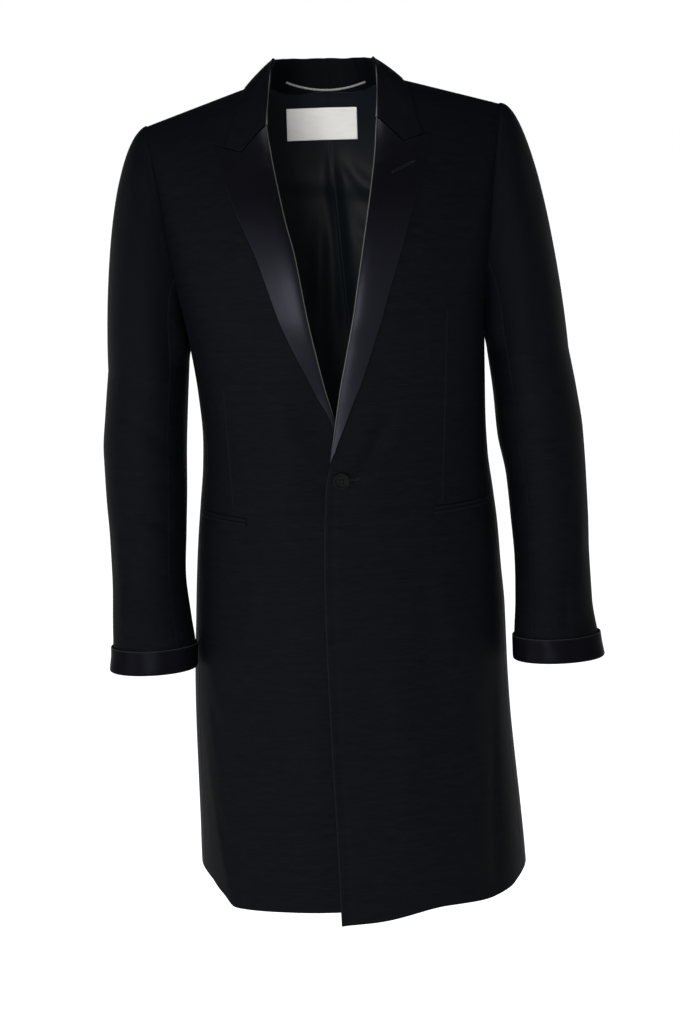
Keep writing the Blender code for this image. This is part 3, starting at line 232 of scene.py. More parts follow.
def body(side, place, level):
    """Point of the body. Across, it is a superellipse of the place round it (0 centre front, 0.5 side, 1 centre
    back) with the widths and depths of BODY. Above the underarm its depth closes as another superellipse of the
    level, so front and back meet at the shoulder seam. The folds move it outwards."""
    place, level = np.broadcast_arrays(np.asarray(place, float), np.asarray(level, float))
    up = np.clip(level / SCYE, 0.0, 1.0)
    turn = np.pi * place
    across, ahead = signed_power(np.sin(turn), OVAL), signed_power(np.cos(turn), OVAL)
    column = np.where(across >= 0, side, -side)
    x = np.where(column < 0, smooth(level, BODY, 1), smooth(level, BODY, 2)) * across
    z = UNDERARM_Z + np.where(level < 0, level, up * (seam_height(x, side) - UNDERARM_Z))
    front = smooth(level, BODY, 3) * (1 - up**FRONT_ROUND) ** (1 / FRONT_ROUND)
    back = smooth(level, BODY, 4) * (1 - up**BACK_ROUND) ** (1 / BACK_ROUND)
    face = np.where(ahead >= 0, -1, 1)
    fold = fold_height(FOLDS, side * x, level, face) * (1 - up) ** 0.5
    y = -ahead * (np.where(ahead >= 0, front, back) + fold)
    return np.stack([side * x, y, z], axis=-1)


def body_normal(side, place, level):
    """Outward direction of the body: the cross product of short steps round it and up it."""
    aside, upwards = 2e-4, 2e-5
    place, level = np.broadcast_arrays(np.asarray(place, float), np.asarray(level, float))
    round_it = body(side, place + aside, level) - body(side, place - aside, level)
    top = np.minimum(level + upwards / 2, SCYE)
    up_it = body(side, place, top) - body(side, place, top - upwards)
    return side * unit(np.cross(round_it, up_it))


def place_of(side, x, level, at_back=False):
    """Place round the body of a point x metres to its own side: the superellipse turned round."""
    other = np.where(x >= 0, side, -side)
    half = np.where(other < 0, smooth(level, BODY, 1), smooth(level, BODY, 2))
    turn = np.arcsin(np.clip(np.abs(x) / half, 0, 1) ** (1 / OVAL)) / np.pi
    return 1 - turn if at_back else np.sign(x) * turn


def columns_between(low, high, share):
    """Places a share of the way from low to high, spaced evenly across the coat where they pass its middle."""
    low, high = signed_power(low, OVAL), signed_power(high, OVAL)
    return signed_power(low + (high - low) * share, 1 / OVAL)


def level_of(side, x, z):
    """Level of a point from its distance to its own side of the centre and its height."""
    above = SCYE * (z - UNDERARM_Z) / (seam_height(x, side) - UNDERARM_Z)
    return np.where(z < UNDERARM_Z, z - UNDERARM_Z, above)


def armhole_level(down):
    """Level of the armhole's edge a share of the way down: half a cosine, so the loop is round at both ends."""
    return SCYE * (1 + np.cos(np.pi * down)) / 2


def armhole_place(level, column):
    """Place of the armhole's front (1) or back (2) edge at a level."""
    down = np.arccos(np.clip(2 * level / SCYE - 1, -1, 1)) / np.pi
    return smooth(down, ARMHOLE, column)


def hem_rise(side, place, level):
    """Change of level that gives the hem its line, fading out above it."""
    fade = step(level, HEM_LEVEL + HEM_FADE, HEM_LEVEL)
    return fade * smooth(place, HEM, 1 if side == RIGHT else 2)


def front_edge_x(side, level):
    """Distance of a front's inner edge to its own side of the centre, back by the roll's radius under the lapel."""
    shown = side * smooth(level, FRONT_EDGE, 2 if side == RIGHT else 1)
    rolled = step(level, BREAK_LEVEL - 0.03, BREAK_LEVEL) * step(level, SCYE, GORGE_LEVEL)
    return shown + ROLL_RADIUS * rolled


def front_surface(side, place, level):
    """Outer face of a front and its outward direction: the body, moved out or in where the fronts lap."""
    level = level + hem_rise(side, place, level)
    points = body(side, place, level)
    normals = body_normal(side, place, level)
    near = step(side * points[..., 0], OVERLAP_END_X, OVERLAP_FULL_X)
    lift = near * smooth(level, OVERLAP, 2 if side == RIGHT else 1)
    return points + normals * lift[..., None], normals


def close_ends(count, first):
    """Shares from 0 to 1, even in the middle, with two more close to each end for a rounded cut edge."""
    middle = np.linspace(6 * first, 1 - 6 * first, count)
    return np.concatenate([[0, first, 2.5 * first], middle, [1 - 2.5 * first, 1 - first, 1]])


def grid_normals(grid, outside, around=False):
    """Directions square to a grid of points, on the side that outside gives."""
    across = np.roll(grid, -1, axis=1) - np.roll(grid, 1, axis=1) if around else np.gradient(grid, axis=1)
    found = unit(np.cross(across, np.gradient(grid, axis=0)))
    return np.where((found * outside).sum(-1, keepdims=True) < 0, -found, found)


def seams(outer, inner, first_row=0.0, last_row=0.0, first_column=0.0, last_column=0.0):
    """Both faces of a wall with their edges drawn back along the cloth by these distances."""
    shift = np.zeros(outer.shape)
    shift[0] += first_row * unit(outer[1] - outer[0])
    shift[-1] += last_row * unit(outer[-2] - outer[-1])
    shift[:, 0] += first_column * unit(outer[:, 1] - outer[:, 0])
    shift[:, -1] += last_column * unit(outer[:, -2] - outer[:, -1])
    return outer + shift, inner + shift


def rounded_rim(outer, inner, around=False):
    """Both faces with their cut edges brought together by a third of the thickness, for a soft turned edge."""
    drawn_in = 0.32
    outer, inner = outer.copy(), inner.copy()
    edges = [(0, slice(None)), (-1, slice(None))]
    if not around:
        edges += [(slice(None), 0), (slice(None), -1)]
    for edge in edges:
        out, deep = outer[edge].copy(), inner[edge].copy()
        outer[edge] = out * (1 - drawn_in) + deep * drawn_in
        inner[edge] = deep * (1 - drawn_in) + out * drawn_in
    return outer, inner


def cells(grid):
    """Corner numbers of every four-sided cell of a grid of point numbers."""
    return np.stack([grid[:-1, :-1], grid[:-1, 1:], grid[1:, 1:], grid[1:, :-1]], axis=-1).reshape(-1, 4)


def link_mesh(name, mesh):
    """New object in the scene for a finished mesh."""
    made = bpy.data.objects.new(name, mesh)
    bpy.context.collection.objects.link(made)
    return made


def cloth_wall(name, outer, inner, finish, behind=None, behind_from=0, painted_highlight=None, around=False):
    """Closed piece of cloth between two grids of points. Its UV map is the length along the cloth in metres, the
    sum of the steps across a row and of those along the middle column. The painted highlight is 0 to 1 at each
    outer
    point: how far its colour is lightened towards the highlight colour."""
    rows, columns = outer.shape[:2]
    ring = np.concatenate([outer, outer[:, :1]], axis=1) if around else outer
    across = np.cumsum(np.linalg.norm(np.diff(ring, axis=1), axis=2), axis=1)
    across = np.concatenate([np.zeros((rows, 1)), across], axis=1)
    across = across - across[:, -1:] / 2
    down = np.linalg.norm(np.diff(ring[:, ring.shape[1] // 2], axis=0), axis=1)
    down = np.repeat(np.concatenate([[0], np.cumsum(down)])[:, None], ring.shape[1], axis=1)
    out = np.arange(rows * columns).reshape(rows, columns)
    out = np.concatenate([out, out[:, :1]], axis=1) if around else out
    deep = out + rows * columns
    flat = np.arange(out.size).reshape(out.shape)

    def rim(first, second):
        return cells(np.stack([first, second]))

    faces = [cells(out), cells(deep)[:, ::-1], rim(deep[0], out[0]), rim(out[-1], deep[-1])]
    spots = [cells(flat), cells(flat)[:, ::-1], rim(flat[0], flat[0]), rim(flat[-1], flat[-1])]
    if not around:
        faces += [rim(out[:, 0], deep[:, 0]), rim(deep[:, -1], out[:, -1])]
        spots += [rim(flat[:, 0], flat[:, 0]), rim(flat[:, -1], flat[:, -1])]
    count = [len(f) for f in faces]
    faces, spots = np.concatenate(faces), np.concatenate(spots)
    points = np.concatenate([outer.reshape(-1, 3), inner.reshape(-1, 3)])
    corners = points[faces]
    if np.einsum("ij,ij->", corners[:, 0], np.cross(corners[:, 1], corners[:, 2])
                 + np.cross(corners[:, 2], corners[:, 3])) < 0:
        faces, spots = faces[:, ::-1], spots[:, ::-1]
    mesh = bpy.data.meshes.new(name)
    mesh.from_pydata(points, [], faces)
    uv = np.stack([across.ravel(), down.ravel()], axis=1)[spots.ravel()]
    mesh.uv_layers.new(name="cloth").data.foreach_set("uv", uv.ravel())
    # Painted highlight share of each outer point; the inner face gets none
    shade = np.zeros(rows * columns) if painted_highlight is None else np.asarray(painted_highlight, float).ravel()
    mesh.attributes.new("painted_highlight", "FLOAT", "POINT").data.foreach_set("value", np.concatenate([shade, shade * 0]))
    mesh.shade_smooth()
    mesh.materials.append(finish)
    if behind is not None:
        mesh.materials.append(behind)
        which = np.zeros(len(faces), int)
        lined = (np.arange(count[1]) % (out.shape[1] - 1)) >= behind_from
        which[count[0]:count[0] + count[1]] = lined
        mesh.polygons.foreach_set("material_index", which)
    return link_mesh(name, mesh)


def finish_of(name, colour, roughness, **sockets):
    """New material, its nodes and its shader, with plain values on the shader's sockets."""
    made = bpy.data.materials.new(name)
    made.use_nodes = True
    shader = made.node_tree.nodes["Principled BSDF"]
    shader.inputs["Base Color"].default_value = (*colour, 1.0)
    shader.inputs["Roughness"].default_value = roughness
    for socket, value in sockets.items():
        shader.inputs[socket.replace("_", " ")].default_value = value
    return made, made.node_tree, shader


def add_node(tree, kind, inputs=None, **settings):
    """New node with its settings; inputs are values, or sockets to link."""
    made = tree.nodes.new(kind)
    for key, value in settings.items():
        setattr(made, key, value)
    for key, value in (inputs or {}).items():
        if isinstance(value, bpy.types.NodeSocket):
            tree.links.new(value, made.inputs[key])
        else:
            made.inputs[key].default_value = value
    return made


def streaks(tree, scale):
    """Noise drawn out along the cloth: scale is how many blotches there are in a metre across and along it."""
    spot = add_node(tree, "ShaderNodeUVMap", uv_map="cloth")
    spread = add_node(tree, "ShaderNodeMapping", {"Vector": spot.outputs["UV"], "Scale": (*scale, 1.0)})
    return add_node(tree, "ShaderNodeTexNoise", {
        "Vector": spread.outputs["Vector"], "Scale": 1.0, "Detail": 2.0})


def blend_colours(tree, factor, low, high):
    """Colour between two, by a factor from another node."""
    mix = add_node(tree, "ShaderNodeMix", data_type="RGBA")
    tree.links.new(factor, mix.inputs[0])
    for socket, colour in ((mix.inputs[6], low), (mix.inputs[7], high)):
        if isinstance(colour, bpy.types.NodeSocket):
            tree.links.new(colour, socket)
        else:
            socket.default_value = (*colour, 1.0)
    return mix.outputs[2]


def paint_highlight_colour(tree, shader, cloth, highlight_tone):
    """Sets the cloth's colour, going over to a lighter one by the point attribute, where a highlight is painted on.
    """
    painted_highlight = add_node(tree, "ShaderNodeAttribute", attribute_name="painted_highlight")
    tree.links.new(blend_colours(tree, painted_highlight.outputs["Fac"], cloth, highlight_tone), shader.inputs["Base Color"])


def sum_up(tree, first, second, operation="ADD"):
    """Sum, or another operation, of two values."""
    return add_node(tree, "ShaderNodeMath", {0: first, 1: second}, operation=operation).outputs[0]


def weave_bump(tree, shader, heights, strength, distance):
    """Bump from the sum of several heights, each with its share."""
    total = None
    for height, share in heights:
        part = sum_up(tree, height, share, "MULTIPLY")
        total = part if total is None else sum_up(tree, total, part)
    bump = add_node(tree, "ShaderNodeBump", {"Height": total, "Strength": strength, "Distance": distance})
    tree.links.new(bump.outputs["Normal"], shader.inputs["Normal"])


def yarns(tree, direction, pitch):
    """Height of parallel yarns across or along the cloth, a sine wave with this pitch in metres."""
    spot = add_node(tree, "ShaderNodeUVMap", uv_map="cloth")
    wave = add_node(tree, "ShaderNodeTexWave", {
        "Vector": spot.outputs["UV"], "Scale": 0.314 / pitch, "Distortion": 0.6, "Detail": 1.0},
        bands_direction=direction)
    return wave.outputs["Fac"]


def wool_cloth():
    """Near-black navy wool and mohair: level slubs, a plain weave, a short soft nap and a lighter painted highlight
    colour for lit edges and lines.
    """
    made, tree, shader = finish_of(
        "navy wool and mohair", (0.0022, 0.0025, 0.0036), 0.62, Specular_IOR_Level=0.024, Sheen_Weight=0.005,
        Sheen_Roughness=0.40, Sheen_Tint=(0.50, 0.58, 0.75, 1.0))
    slub = streaks(tree, (55.0, 1100.0))
    drift = streaks(tree, (14.0, 160.0))
    both = sum_up(tree, slub.outputs[0], sum_up(tree, drift.outputs[0], 0.35, "MULTIPLY"))
    spread = add_node(tree, "ShaderNodeMapRange", {"Value": both, "From Min": 0.45, "From Max": 0.92})
    cloth = blend_colours(tree, spread.outputs[0], (0.0008, 0.0010, 0.0016), (0.0024, 0.0027, 0.0040))
    # Painted highlight: a light grey the cloth goes over to where a piece marks a lit edge or ridge
    paint_highlight_colour(tree, shader, cloth, (0.110, 0.112, 0.115))
    weave_bump(tree, shader, (
        (slub.outputs[0], 1.0), (yarns(tree, "X", 0.0009), 0.35), (yarns(tree, "Y", 0.0009), 0.45)), 0.35, 0.0003)
    return made


def lining_cloth():
    """Dark teal-black lining: a smooth close twill with a soft shine and faint streaks along the yarn."""
    made, tree, shader = finish_of(
        "dark teal lining", (0.005, 0.0070, 0.0095), 0.46, Specular_IOR_Level=0.07, Anisotropic=0.3,
        Sheen_Weight=0.08, Sheen_Roughness=0.3)
    grain = streaks(tree, (900.0, 30.0))
    cloth = blend_colours(tree, grain.outputs[0], (0.0032, 0.0050, 0.0070), (0.0062, 0.0087, 0.0117))
    tree.links.new(cloth, shader.inputs["Base Color"])
    weave_bump(tree, shader, ((grain.outputs[0], 0.6), (yarns(tree, "DIAGONAL", 0.0008), 0.4)), 0.12, 0.0002)
    return made


def attach(piece, node=None):
    """Sets a piece on the coat's one body and, where it has one, in its solid's place."""
    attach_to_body(piece, "root")
    if node is not None:
        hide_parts(node)


def sew_on(piece, node):
    """Attaches a piece of cloth in its solid's place."""
    attach(piece, node)


WOOL = wool_cloth()
LINING = lining_cloth()
# How many columns or rows lie between the close ones at the cut edges, and the first one's share of the whole
FRONT_COLUMNS, FRONT_ROWS = (82, 0.0032), (176, 0.0009)
FACING_COLUMNS = 30                    # this many of them are faced with the cloth inside, and the rest lined
PRESSED_TROUGH = (0.0095, 0.0034, 0.0008)      # distance from the edge, half-width and depth
EDGE_HIGHLIGHT_PAINT = (0.0011, 0.035)                   # half-width and strength of the painted highlight along the left front's edge, where light catches it


def front(side):
    """Front panel: rows of levels from hem to shoulder, columns from its own edge to the side seam and armhole,
    with a shallow trough pressed along the edge below the lapel."""
    share = close_ends(*FRONT_COLUMNS)
    levels = HEM_LEVEL + (SCYE - HEM_LEVEL) * close_ends(*FRONT_ROWS)
    low = place_of(side, front_edge_x(side, levels), levels)
    high = np.where(levels > armhole_level(SEAMS_MEET), armhole_place(levels, 1), FRONT_SEAM)
    place = columns_between(low[:, None], high[:, None], share)
    level = np.repeat(levels[:, None], len(share), axis=1)
    points, normals = front_surface(side, place, level)
    from_edge = side * points[..., 0] - front_edge_x(side, level)
    below = step(level, BREAK_LEVEL + 0.01, BREAK_LEVEL - 0.02)
    at, wide, deep = PRESSED_TROUGH
    points = points - normals * (below * deep * np.exp(-((from_edge - at) / wide) ** 2))[..., None]
    # Painted highlight: a thin lighter band along the left front's edge below the lapel, where light catches the
    # edge
    half, strength = EDGE_HIGHLIGHT_PAINT
    highlight_paint = strength * below * np.exp(-(from_edge / half) ** 2) * (side == LEFT)
    faces = seams(points, points - normals * CLOTH, last_row=SEAM_LAP, last_column=SEAM_LAP)
    made = cloth_wall(SIDE_NAME[side] + "_front_cloth", *rounded_rim(*faces), WOOL, LINING, FACING_COLUMNS,
                      painted_highlight=highlight_paint)
    sew_on(made, "front_" + SIDE_NAME[side])


for wearer_side in (RIGHT, LEFT):
    front(wearer_side)


# Darts: one in each front from below the chest to the pocket, sewn inside and pressed towards the middle, so that
# outside each shows only as a fine raised line of the same cloth.
DARTS = {
    RIGHT: ((-0.348, 0.1364), (-0.421, 0.1350), (-0.495, 0.1324)),
    LEFT: ((-0.265, 0.1284), (-0.3755, 0.1215), (-0.494, 0.1131)),
}
DART_WIDTH = 0.0022
DART_HEIGHT, DART_SUNK = 0.00030, 0.0003
# strength of the painted highlight along each dart's raised line
DART_HIGHLIGHT_PAINT = 0.016
DART_ROWS = 90


def dart(side):
    """Narrow rounded welt: its height is a cosine across the seam line and fades to nothing at both ends."""
    line = sorted(DARTS[side])
    z = np.linspace(line[0][0], line[-1][0], DART_ROWS)[:, None]
    across = np.linspace(-0.5, 0.5, 7)[None]
    x = smooth(z, line, 1) + across * DART_WIDTH
    level = z - UNDERARM_Z + 0 * x
    points, normals = front_surface(side, place_of(side, x, level), level)
    ends = np.sin(np.pi * np.linspace(0.02, 0.98, DART_ROWS))[:, None] ** 0.3
    rise = DART_HEIGHT * (0.25 + np.cos(np.pi * across) * ends)
    # A painted highlight lightens the colour along the welt's ridge, fading at its ends
    made = cloth_wall(SIDE_NAME[side] + "_dart", points + normals * rise[..., None], points - normals * DART_SUNK,
                      WOOL, painted_highlight=DART_HIGHLIGHT_PAINT * np.cos(np.pi * across) * ends)
    attach(made)


for wearer_side in (RIGHT, LEFT):
    dart(wearer_side)


# Side panels: one under each arm between front and back, of the body cloth, lined, its top hollowed by the armhole.
SIDE_COLUMNS, SIDE_ROWS = (36, 0.008), (130, 0.0011)
SIDE_STRETCH = 0.07                    # height below the underarm over which its rows follow the armhole


def side_panel(side):
    """Side panel: rows of levels up to the underarm, each stretched up to the armhole's edge near the top."""
    place = FRONT_SEAM + (BACK_SEAM - FRONT_SEAM) * close_ends(*SIDE_COLUMNS)
    downs = np.linspace(0.6, 1.0, 400)
    front_top = np.interp(place, smooth(downs, ARMHOLE, 1), armhole_level(downs))
    back_top = np.interp(-place, -smooth(downs, ARMHOLE, 2), armhole_level(downs))
    top = np.where(place < 0.5, front_top, back_top)
    levels = HEM_LEVEL * (1 - close_ends(*SIDE_ROWS))
    level = levels[:, None] + top * step(levels[:, None], -SIDE_STRETCH, 0.0)
    place = np.repeat(place[None], len(levels), axis=0)
    level = level + hem_rise(side, place, level)
    points, normals = body(side, place, level), body_normal(side, place, level)
    faces = seams(points, points - normals * CLOTH, 0, SEAM_LAP, SEAM_LAP, SEAM_LAP)
    made = cloth_wall(SIDE_NAME[side] + "_side_cloth", *rounded_rim(*faces), WOOL, LINING)
    sew_on(made, "side_panel_" + SIDE_NAME[side])


for wearer_side in (RIGHT, LEFT):
    side_panel(wearer_side)


# Backs: two halves joined by the centre back seam, of the body cloth. They meet the fronts along the shoulder
# seams, and their top edge dips below the neck points under the collar.
NECK_DIP = 0.0215
BACK_COLUMNS, BACK_ROWS = (64, 0.004), (160, 0.0009)


def neck_dip(share):
    """Drop of the back neckline at a share of its way from the centre to the shoulder seam."""
    return NECK_DIP * (1 - np.clip(share, 0, 1) ** 2.2)


def back_neck(side):
    """Distance round the body from the centre back to the neck point, as a place."""
    return 1 - place_of(side, NECK_X, SCYE, at_back=True)


def back(side):
    """Back half: rows of levels from hem to neck and shoulder, columns from side seam and armhole to the centre."""
    levels = HEM_LEVEL + (SCYE - HEM_LEVEL) * close_ends(*BACK_ROWS)
    low = np.where(levels > armhole_level(SEAMS_MEET), armhole_place(levels, 2), BACK_SEAM)
    place = 1 - columns_between(1 - low[:, None], 0.0, close_ends(*BACK_COLUMNS))
    dip = neck_dip((1 - place) / back_neck(side))
    level = levels[:, None] - dip * step(levels[:, None], GORGE_LEVEL - 0.06, SCYE)
    level = level + hem_rise(side, place, level)
    points, normals = body(side, place, level), body_normal(side, place, level)
    faces = seams(points, points - normals * CLOTH, 0, SEAM_LAP, SEAM_LAP, SEAM_LAP)
    made = cloth_wall(SIDE_NAME[side] + "_back_cloth", *rounded_rim(*faces), WOOL)
    sew_on(made, "back_" + SIDE_NAME[side])


for wearer_side in (RIGHT, LEFT):
    back(wearer_side)


# Sleeves: a top sleeve and an under sleeve on each side, of the body cloth, lined, set into the armhole with a
# little fullness at the head and shaped to the bend of the arm, with soft creases at the elbow.
# Height, inner and outer distance from the centre, y of the middle, half-depth
SLEEVE = {
    RIGHT: (
        (-0.687, 0.1905, 0.2938, -0.062, 0.037), (-0.662, 0.1900, 0.2900, -0.056, 0.039),
        (-0.630, 0.1935, 0.2892, -0.046, 0.042), (-0.580, 0.1982, 0.2878, -0.030, 0.046),
        (-0.530, 0.1950, 0.2880, -0.021, 0.050), (-0.480, 0.1915, 0.2897, -0.013, 0.054),
        (-0.430, 0.1890, 0.2900, -0.006, 0.058), (-0.380, 0.1850, 0.2848, -0.001, 0.062),
        (-0.330, 0.1803, 0.2783, 0.004, 0.066),
    ),
    LEFT: (
        (-0.698, 0.1938, 0.3020, -0.062, 0.037), (-0.672, 0.1950, 0.2968, -0.056, 0.039),
        (-0.630, 0.1990, 0.2920, -0.045, 0.042), (-0.580, 0.2012, 0.2920, -0.030, 0.046),
        (-0.530, 0.1990, 0.2930, -0.021, 0.050), (-0.480, 0.1960, 0.2928, -0.013, 0.054),
        (-0.430, 0.1878, 0.2915, -0.006, 0.058), (-0.380, 0.1850, 0.2858, -0.001, 0.062),
        (-0.330, 0.1800, 0.2780, 0.004, 0.066),
    ),
}
HEAD_LEAVES = {RIGHT: (0.43, -0.20), LEFT: (0.35, -0.02)}
HEAD_ARRIVES = {RIGHT: 0.025, LEFT: 0.065}
# Directions, outwards, forwards and up, in which the sleeve leaves the armhole beside and under the arm
BESIDE_LEAVES, UNDER_LEAVES = (0.50, 0.28, -0.55), (0.12, -0.9)
HEAD_STEP = 0.30
HEAD_TUCK = 0.0016                     # its edge goes this far in behind the armhole's
ARM_RADIUS = 0.05                      # turns an angle into a distance round the arm, for the creases
SEAM_TURN = 2 * np.pi * 7 / 20          # angle from the outside of the arm to both sleeve seams
CUFF_STOP = 0.0030
ARMPIT_LIES = (-0.330, -0.302)          # heights between which the under sleeve comes off the body
ARMPIT_GAP = 0.0002
SLEEVE_COLUMNS, CAP_ROWS, ARM_ROWS = 112, 52, 66
TOP_SLEEVE_CUT, TOP_SLEEVE_AREA = (0.245, 0.680), 0.141
UNDER_SLEEVE_CUT, UNDER_SLEEVE_AREA = (0.115, 0.500), 0.045
# Creases of a sleeve: wearer's side (0 both), distance round from the outside (front is positive) and height of the
# start and the end, half-width, height, bow
SLEEVE_FOLDS = (
    (0, 0.062, -0.190, 0.082, -0.400, 0.012, -0.0016, 0.003),
    (0, 0.082, -0.395, 0.125, -0.425, 0.008, -0.0022, 0.002),
    (0, 0.070, -0.440, 0.130, -0.452, 0.009, 0.0020, -0.002),
    (0, 0.060, -0.485, 0.120, -0.520, 0.008, -0.0018, 0.002),
    (0, -0.050, -0.380, -0.110, -0.430, 0.011, -0.0018, 0.003),
    (0, -0.045, -0.470, -0.115, -0.455, 0.011, 0.0018, 0.003),
    (0, 0.030, -0.100, 0.048, -0.190, 0.012, -0.0010, 0.002),
    (0, -0.030, -0.110, -0.050, -0.200, 0.012, -0.0012, 0.002),
    (0, 0.040, -0.520, 0.052, -0.640, 0.012, 0.0014, 0.002),
    (1, 0.066, -0.610, 0.070, -0.668, 0.006, -0.0016, 0.001),
    (-1, 0.050, -0.590, 0.060, -0.655, 0.008, -0.0014, 0.001),
)


def arm_ring(side, z, turn):
    """Rings of the sleeve at heights z: ellipses, begun at the outside of the arm and going round by the front."""
    inner, outer, middle, deep = [smooth(z, SLEEVE[side], k)[:, None] for k in (1, 2, 3, 4)]
    x = (inner + outer) / 2 + (outer - inner) / 2 * np.cos(turn)
    y = middle - deep * np.sin(turn)
    return np.stack([side * x, y, np.repeat(z[:, None], len(turn), axis=1)], axis=-1)


def sleeve_grid(side, turn):
    """Whole sleeve. Each column is a cubic from the armhole, which it leaves outwards, down to the arm's first
    ring, and then follows the rings. One more row before them is turned in behind the armhole's edge."""
    down = np.where(turn <= np.pi, turn, 2 * np.pi - turn) / np.pi
    place = np.where(turn <= np.pi, smooth(down, ARMHOLE, 1), smooth(down, ARMHOLE, 2))
    level = armhole_level(down)
    seam = body(side, place, level)
    seam_normal = body_normal(side, place, level)
    proud = HEAD_STEP + (1 - HEAD_STEP) * step(down, 0.12, 0.45)
    start = seam + seam_normal * (proud * (CLOTH + LAY))[:, None]
    top = SLEEVE[side][-1][0]
    end = arm_ring(side, np.array([top]), turn)[0]
    length = np.linalg.norm(end - start, axis=1)[:, None]
    over, under, beside = [w[:, None] for w in (
        np.maximum(np.cos(turn), 0) ** 2, np.maximum(-np.cos(turn), 0) ** 2, np.sin(turn) ** 2)]
    out, fall = HEAD_LEAVES[side]
    leave = over * np.array([side * out, 0, fall])
    out, fall = UNDER_LEAVES
    leave = leave + under * np.array([side * out, 0, fall])
    out, on, fall = BESIDE_LEAVES
    ahead = np.where(np.sin(turn) > 0, -1.0, 1.0)[:, None]
    leave = leave + beside * (np.array([side * out, 0, fall]) + ahead * np.array([0, on, 0]))
    arrive = np.array([side * HEAD_ARRIVES[side], 0, -1.0]) + under * np.array([0, 0, 0.1])
    s = np.concatenate([[0, 0.004, 0.010], np.linspace(0.022, 1, CAP_ROWS)[:-1]])[:, None, None]
    cap = (start * (2 * s**3 - 3 * s**2 + 1) + leave * length * (s**3 - 2 * s**2 + s)
           + end * (3 * s**2 - 2 * s**3) + arrive * length * (s**3 - s**2))
    arm = arm_ring(side, np.linspace(top, SLEEVE[side][0][0] + CUFF_STOP, ARM_ROWS), turn)
    grid = np.concatenate([cap, arm])
    beside_body = side * body(side, 0.5, np.minimum(grid[..., 2] - UNDERARM_Z, 0))[..., 0] + ARMPIT_GAP
    lies = step(-np.cos(turn), 0.55, 0.95) * step(grid[..., 2], *ARMPIT_LIES)
    grid[..., 0] -= side * np.maximum(side * grid[..., 0] - beside_body, 0) * lies
    normals = grid_normals(grid, grid - grid.mean(axis=1, keepdims=True), around=True)
    normals[0] = unit(seam_normal + normals[0] * step(down, 0.0, 0.5)[:, None] * 0.4)
    around = np.where(turn > np.pi, turn - 2 * np.pi, turn) * ARM_RADIUS
    for which in (0, side):
        height = fold_height(SLEEVE_FOLDS, around[None], grid[..., 2], which)
        grid = grid + normals * height[..., None]
    tucked = seam - seam_normal * CLOTH * 0.5 - unit(grid[1] - grid[0]) * HEAD_TUCK
    return np.concatenate([tucked[None], grid]), np.concatenate([normals[:1], normals])


def sleeve(side):
    """Top and under sleeve, each a part of the whole sleeve's columns, with more columns beside the seams."""
    near = np.array([-0.040, -0.016, 0.0, 0.016, 0.040])
    turn = np.concatenate([np.linspace(0, 2 * np.pi, SLEEVE_COLUMNS, endpoint=False), SEAM_TURN + near,
                           2 * np.pi - SEAM_TURN + near])
    turn = np.unique(np.round(turn, 5))
    grid, normals = sleeve_grid(side, turn)
    first = int(np.argmin(np.abs(turn - SEAM_TURN)))
    last = int(np.argmin(np.abs(turn - 2 * np.pi + SEAM_TURN)))
    count = len(turn)
    parts = (
        ("top_sleeve", np.arange(last - count, first + 1) % count, TOP_SLEEVE_CUT, TOP_SLEEVE_AREA),
        ("under_sleeve", np.arange(first, last + 1), UNDER_SLEEVE_CUT, UNDER_SLEEVE_AREA),
    )
    for name, pick, cut, area in parts:
        outer = grid[:, pick]
        faces = seams(outer, outer - normals[:, pick] * CLOTH, 0, 0, SEAM_LAP, SEAM_LAP)
        made = cloth_wall(SIDE_NAME[side] + "_" + name + "_cloth", *rounded_rim(*faces), WOOL, LINING)
        sew_on(made, name + "_" + SIDE_NAME[side])


for wearer_side in (RIGHT, LEFT):
    sleeve(wearer_side)


# Cuffs: a band of satin turned back over each sleeve's end, folded round its bottom and sewn a little way inside.
CUFF_HEIGHT = 0.029
CUFF_INSIDE = 0.016
CUFF_FLARE = 0.0012
CUFF_COLUMNS = 120
CUFF_WAVE, CUFF_RIPPLE = 0.0004, 0.0003
# strength of the painted highlight along the cuff's top edge
CUFF_HIGHLIGHT_PAINT = 0.16


def satin_cloth(name, gloss):
    """Midnight satin: nearly black, with a broad soft shine, fine ribs across it and a lighter painted highlight
    colour for lit rolls and edges.
    """
    made, tree, shader = finish_of(
        name, (0.002, 0.002, 0.0035), 0.36, Specular_IOR_Level=gloss, Anisotropic=0.30,
        Specular_Tint=(0.78, 0.80, 1.0, 1.0))
    grain = streaks(tree, (60.0, 900.0))
    cloth = blend_colours(tree, grain.outputs[0], (0.0011, 0.0011, 0.0019), (0.0024, 0.0024, 0.0036))
    # Painted highlight: a light grey the satin goes over to along a lit roll or edge
    paint_highlight_colour(tree, shader, cloth, (0.125, 0.123, 0.118))
    rough = add_node(tree, "ShaderNodeMapRange", {"Value": grain.outputs[0], "To Min": 0.26, "To Max": 0.34})
    tree.links.new(rough.outputs[0], shader.inputs["Roughness"])
    weave_bump(tree, shader, ((grain.outputs[0], 0.8), (yarns(tree, "Y", 0.0007), 0.4)), 0.10, 0.0002)
    return made


CUFF_SATIN = satin_cloth("midnight satin across the cuff", 0.013)


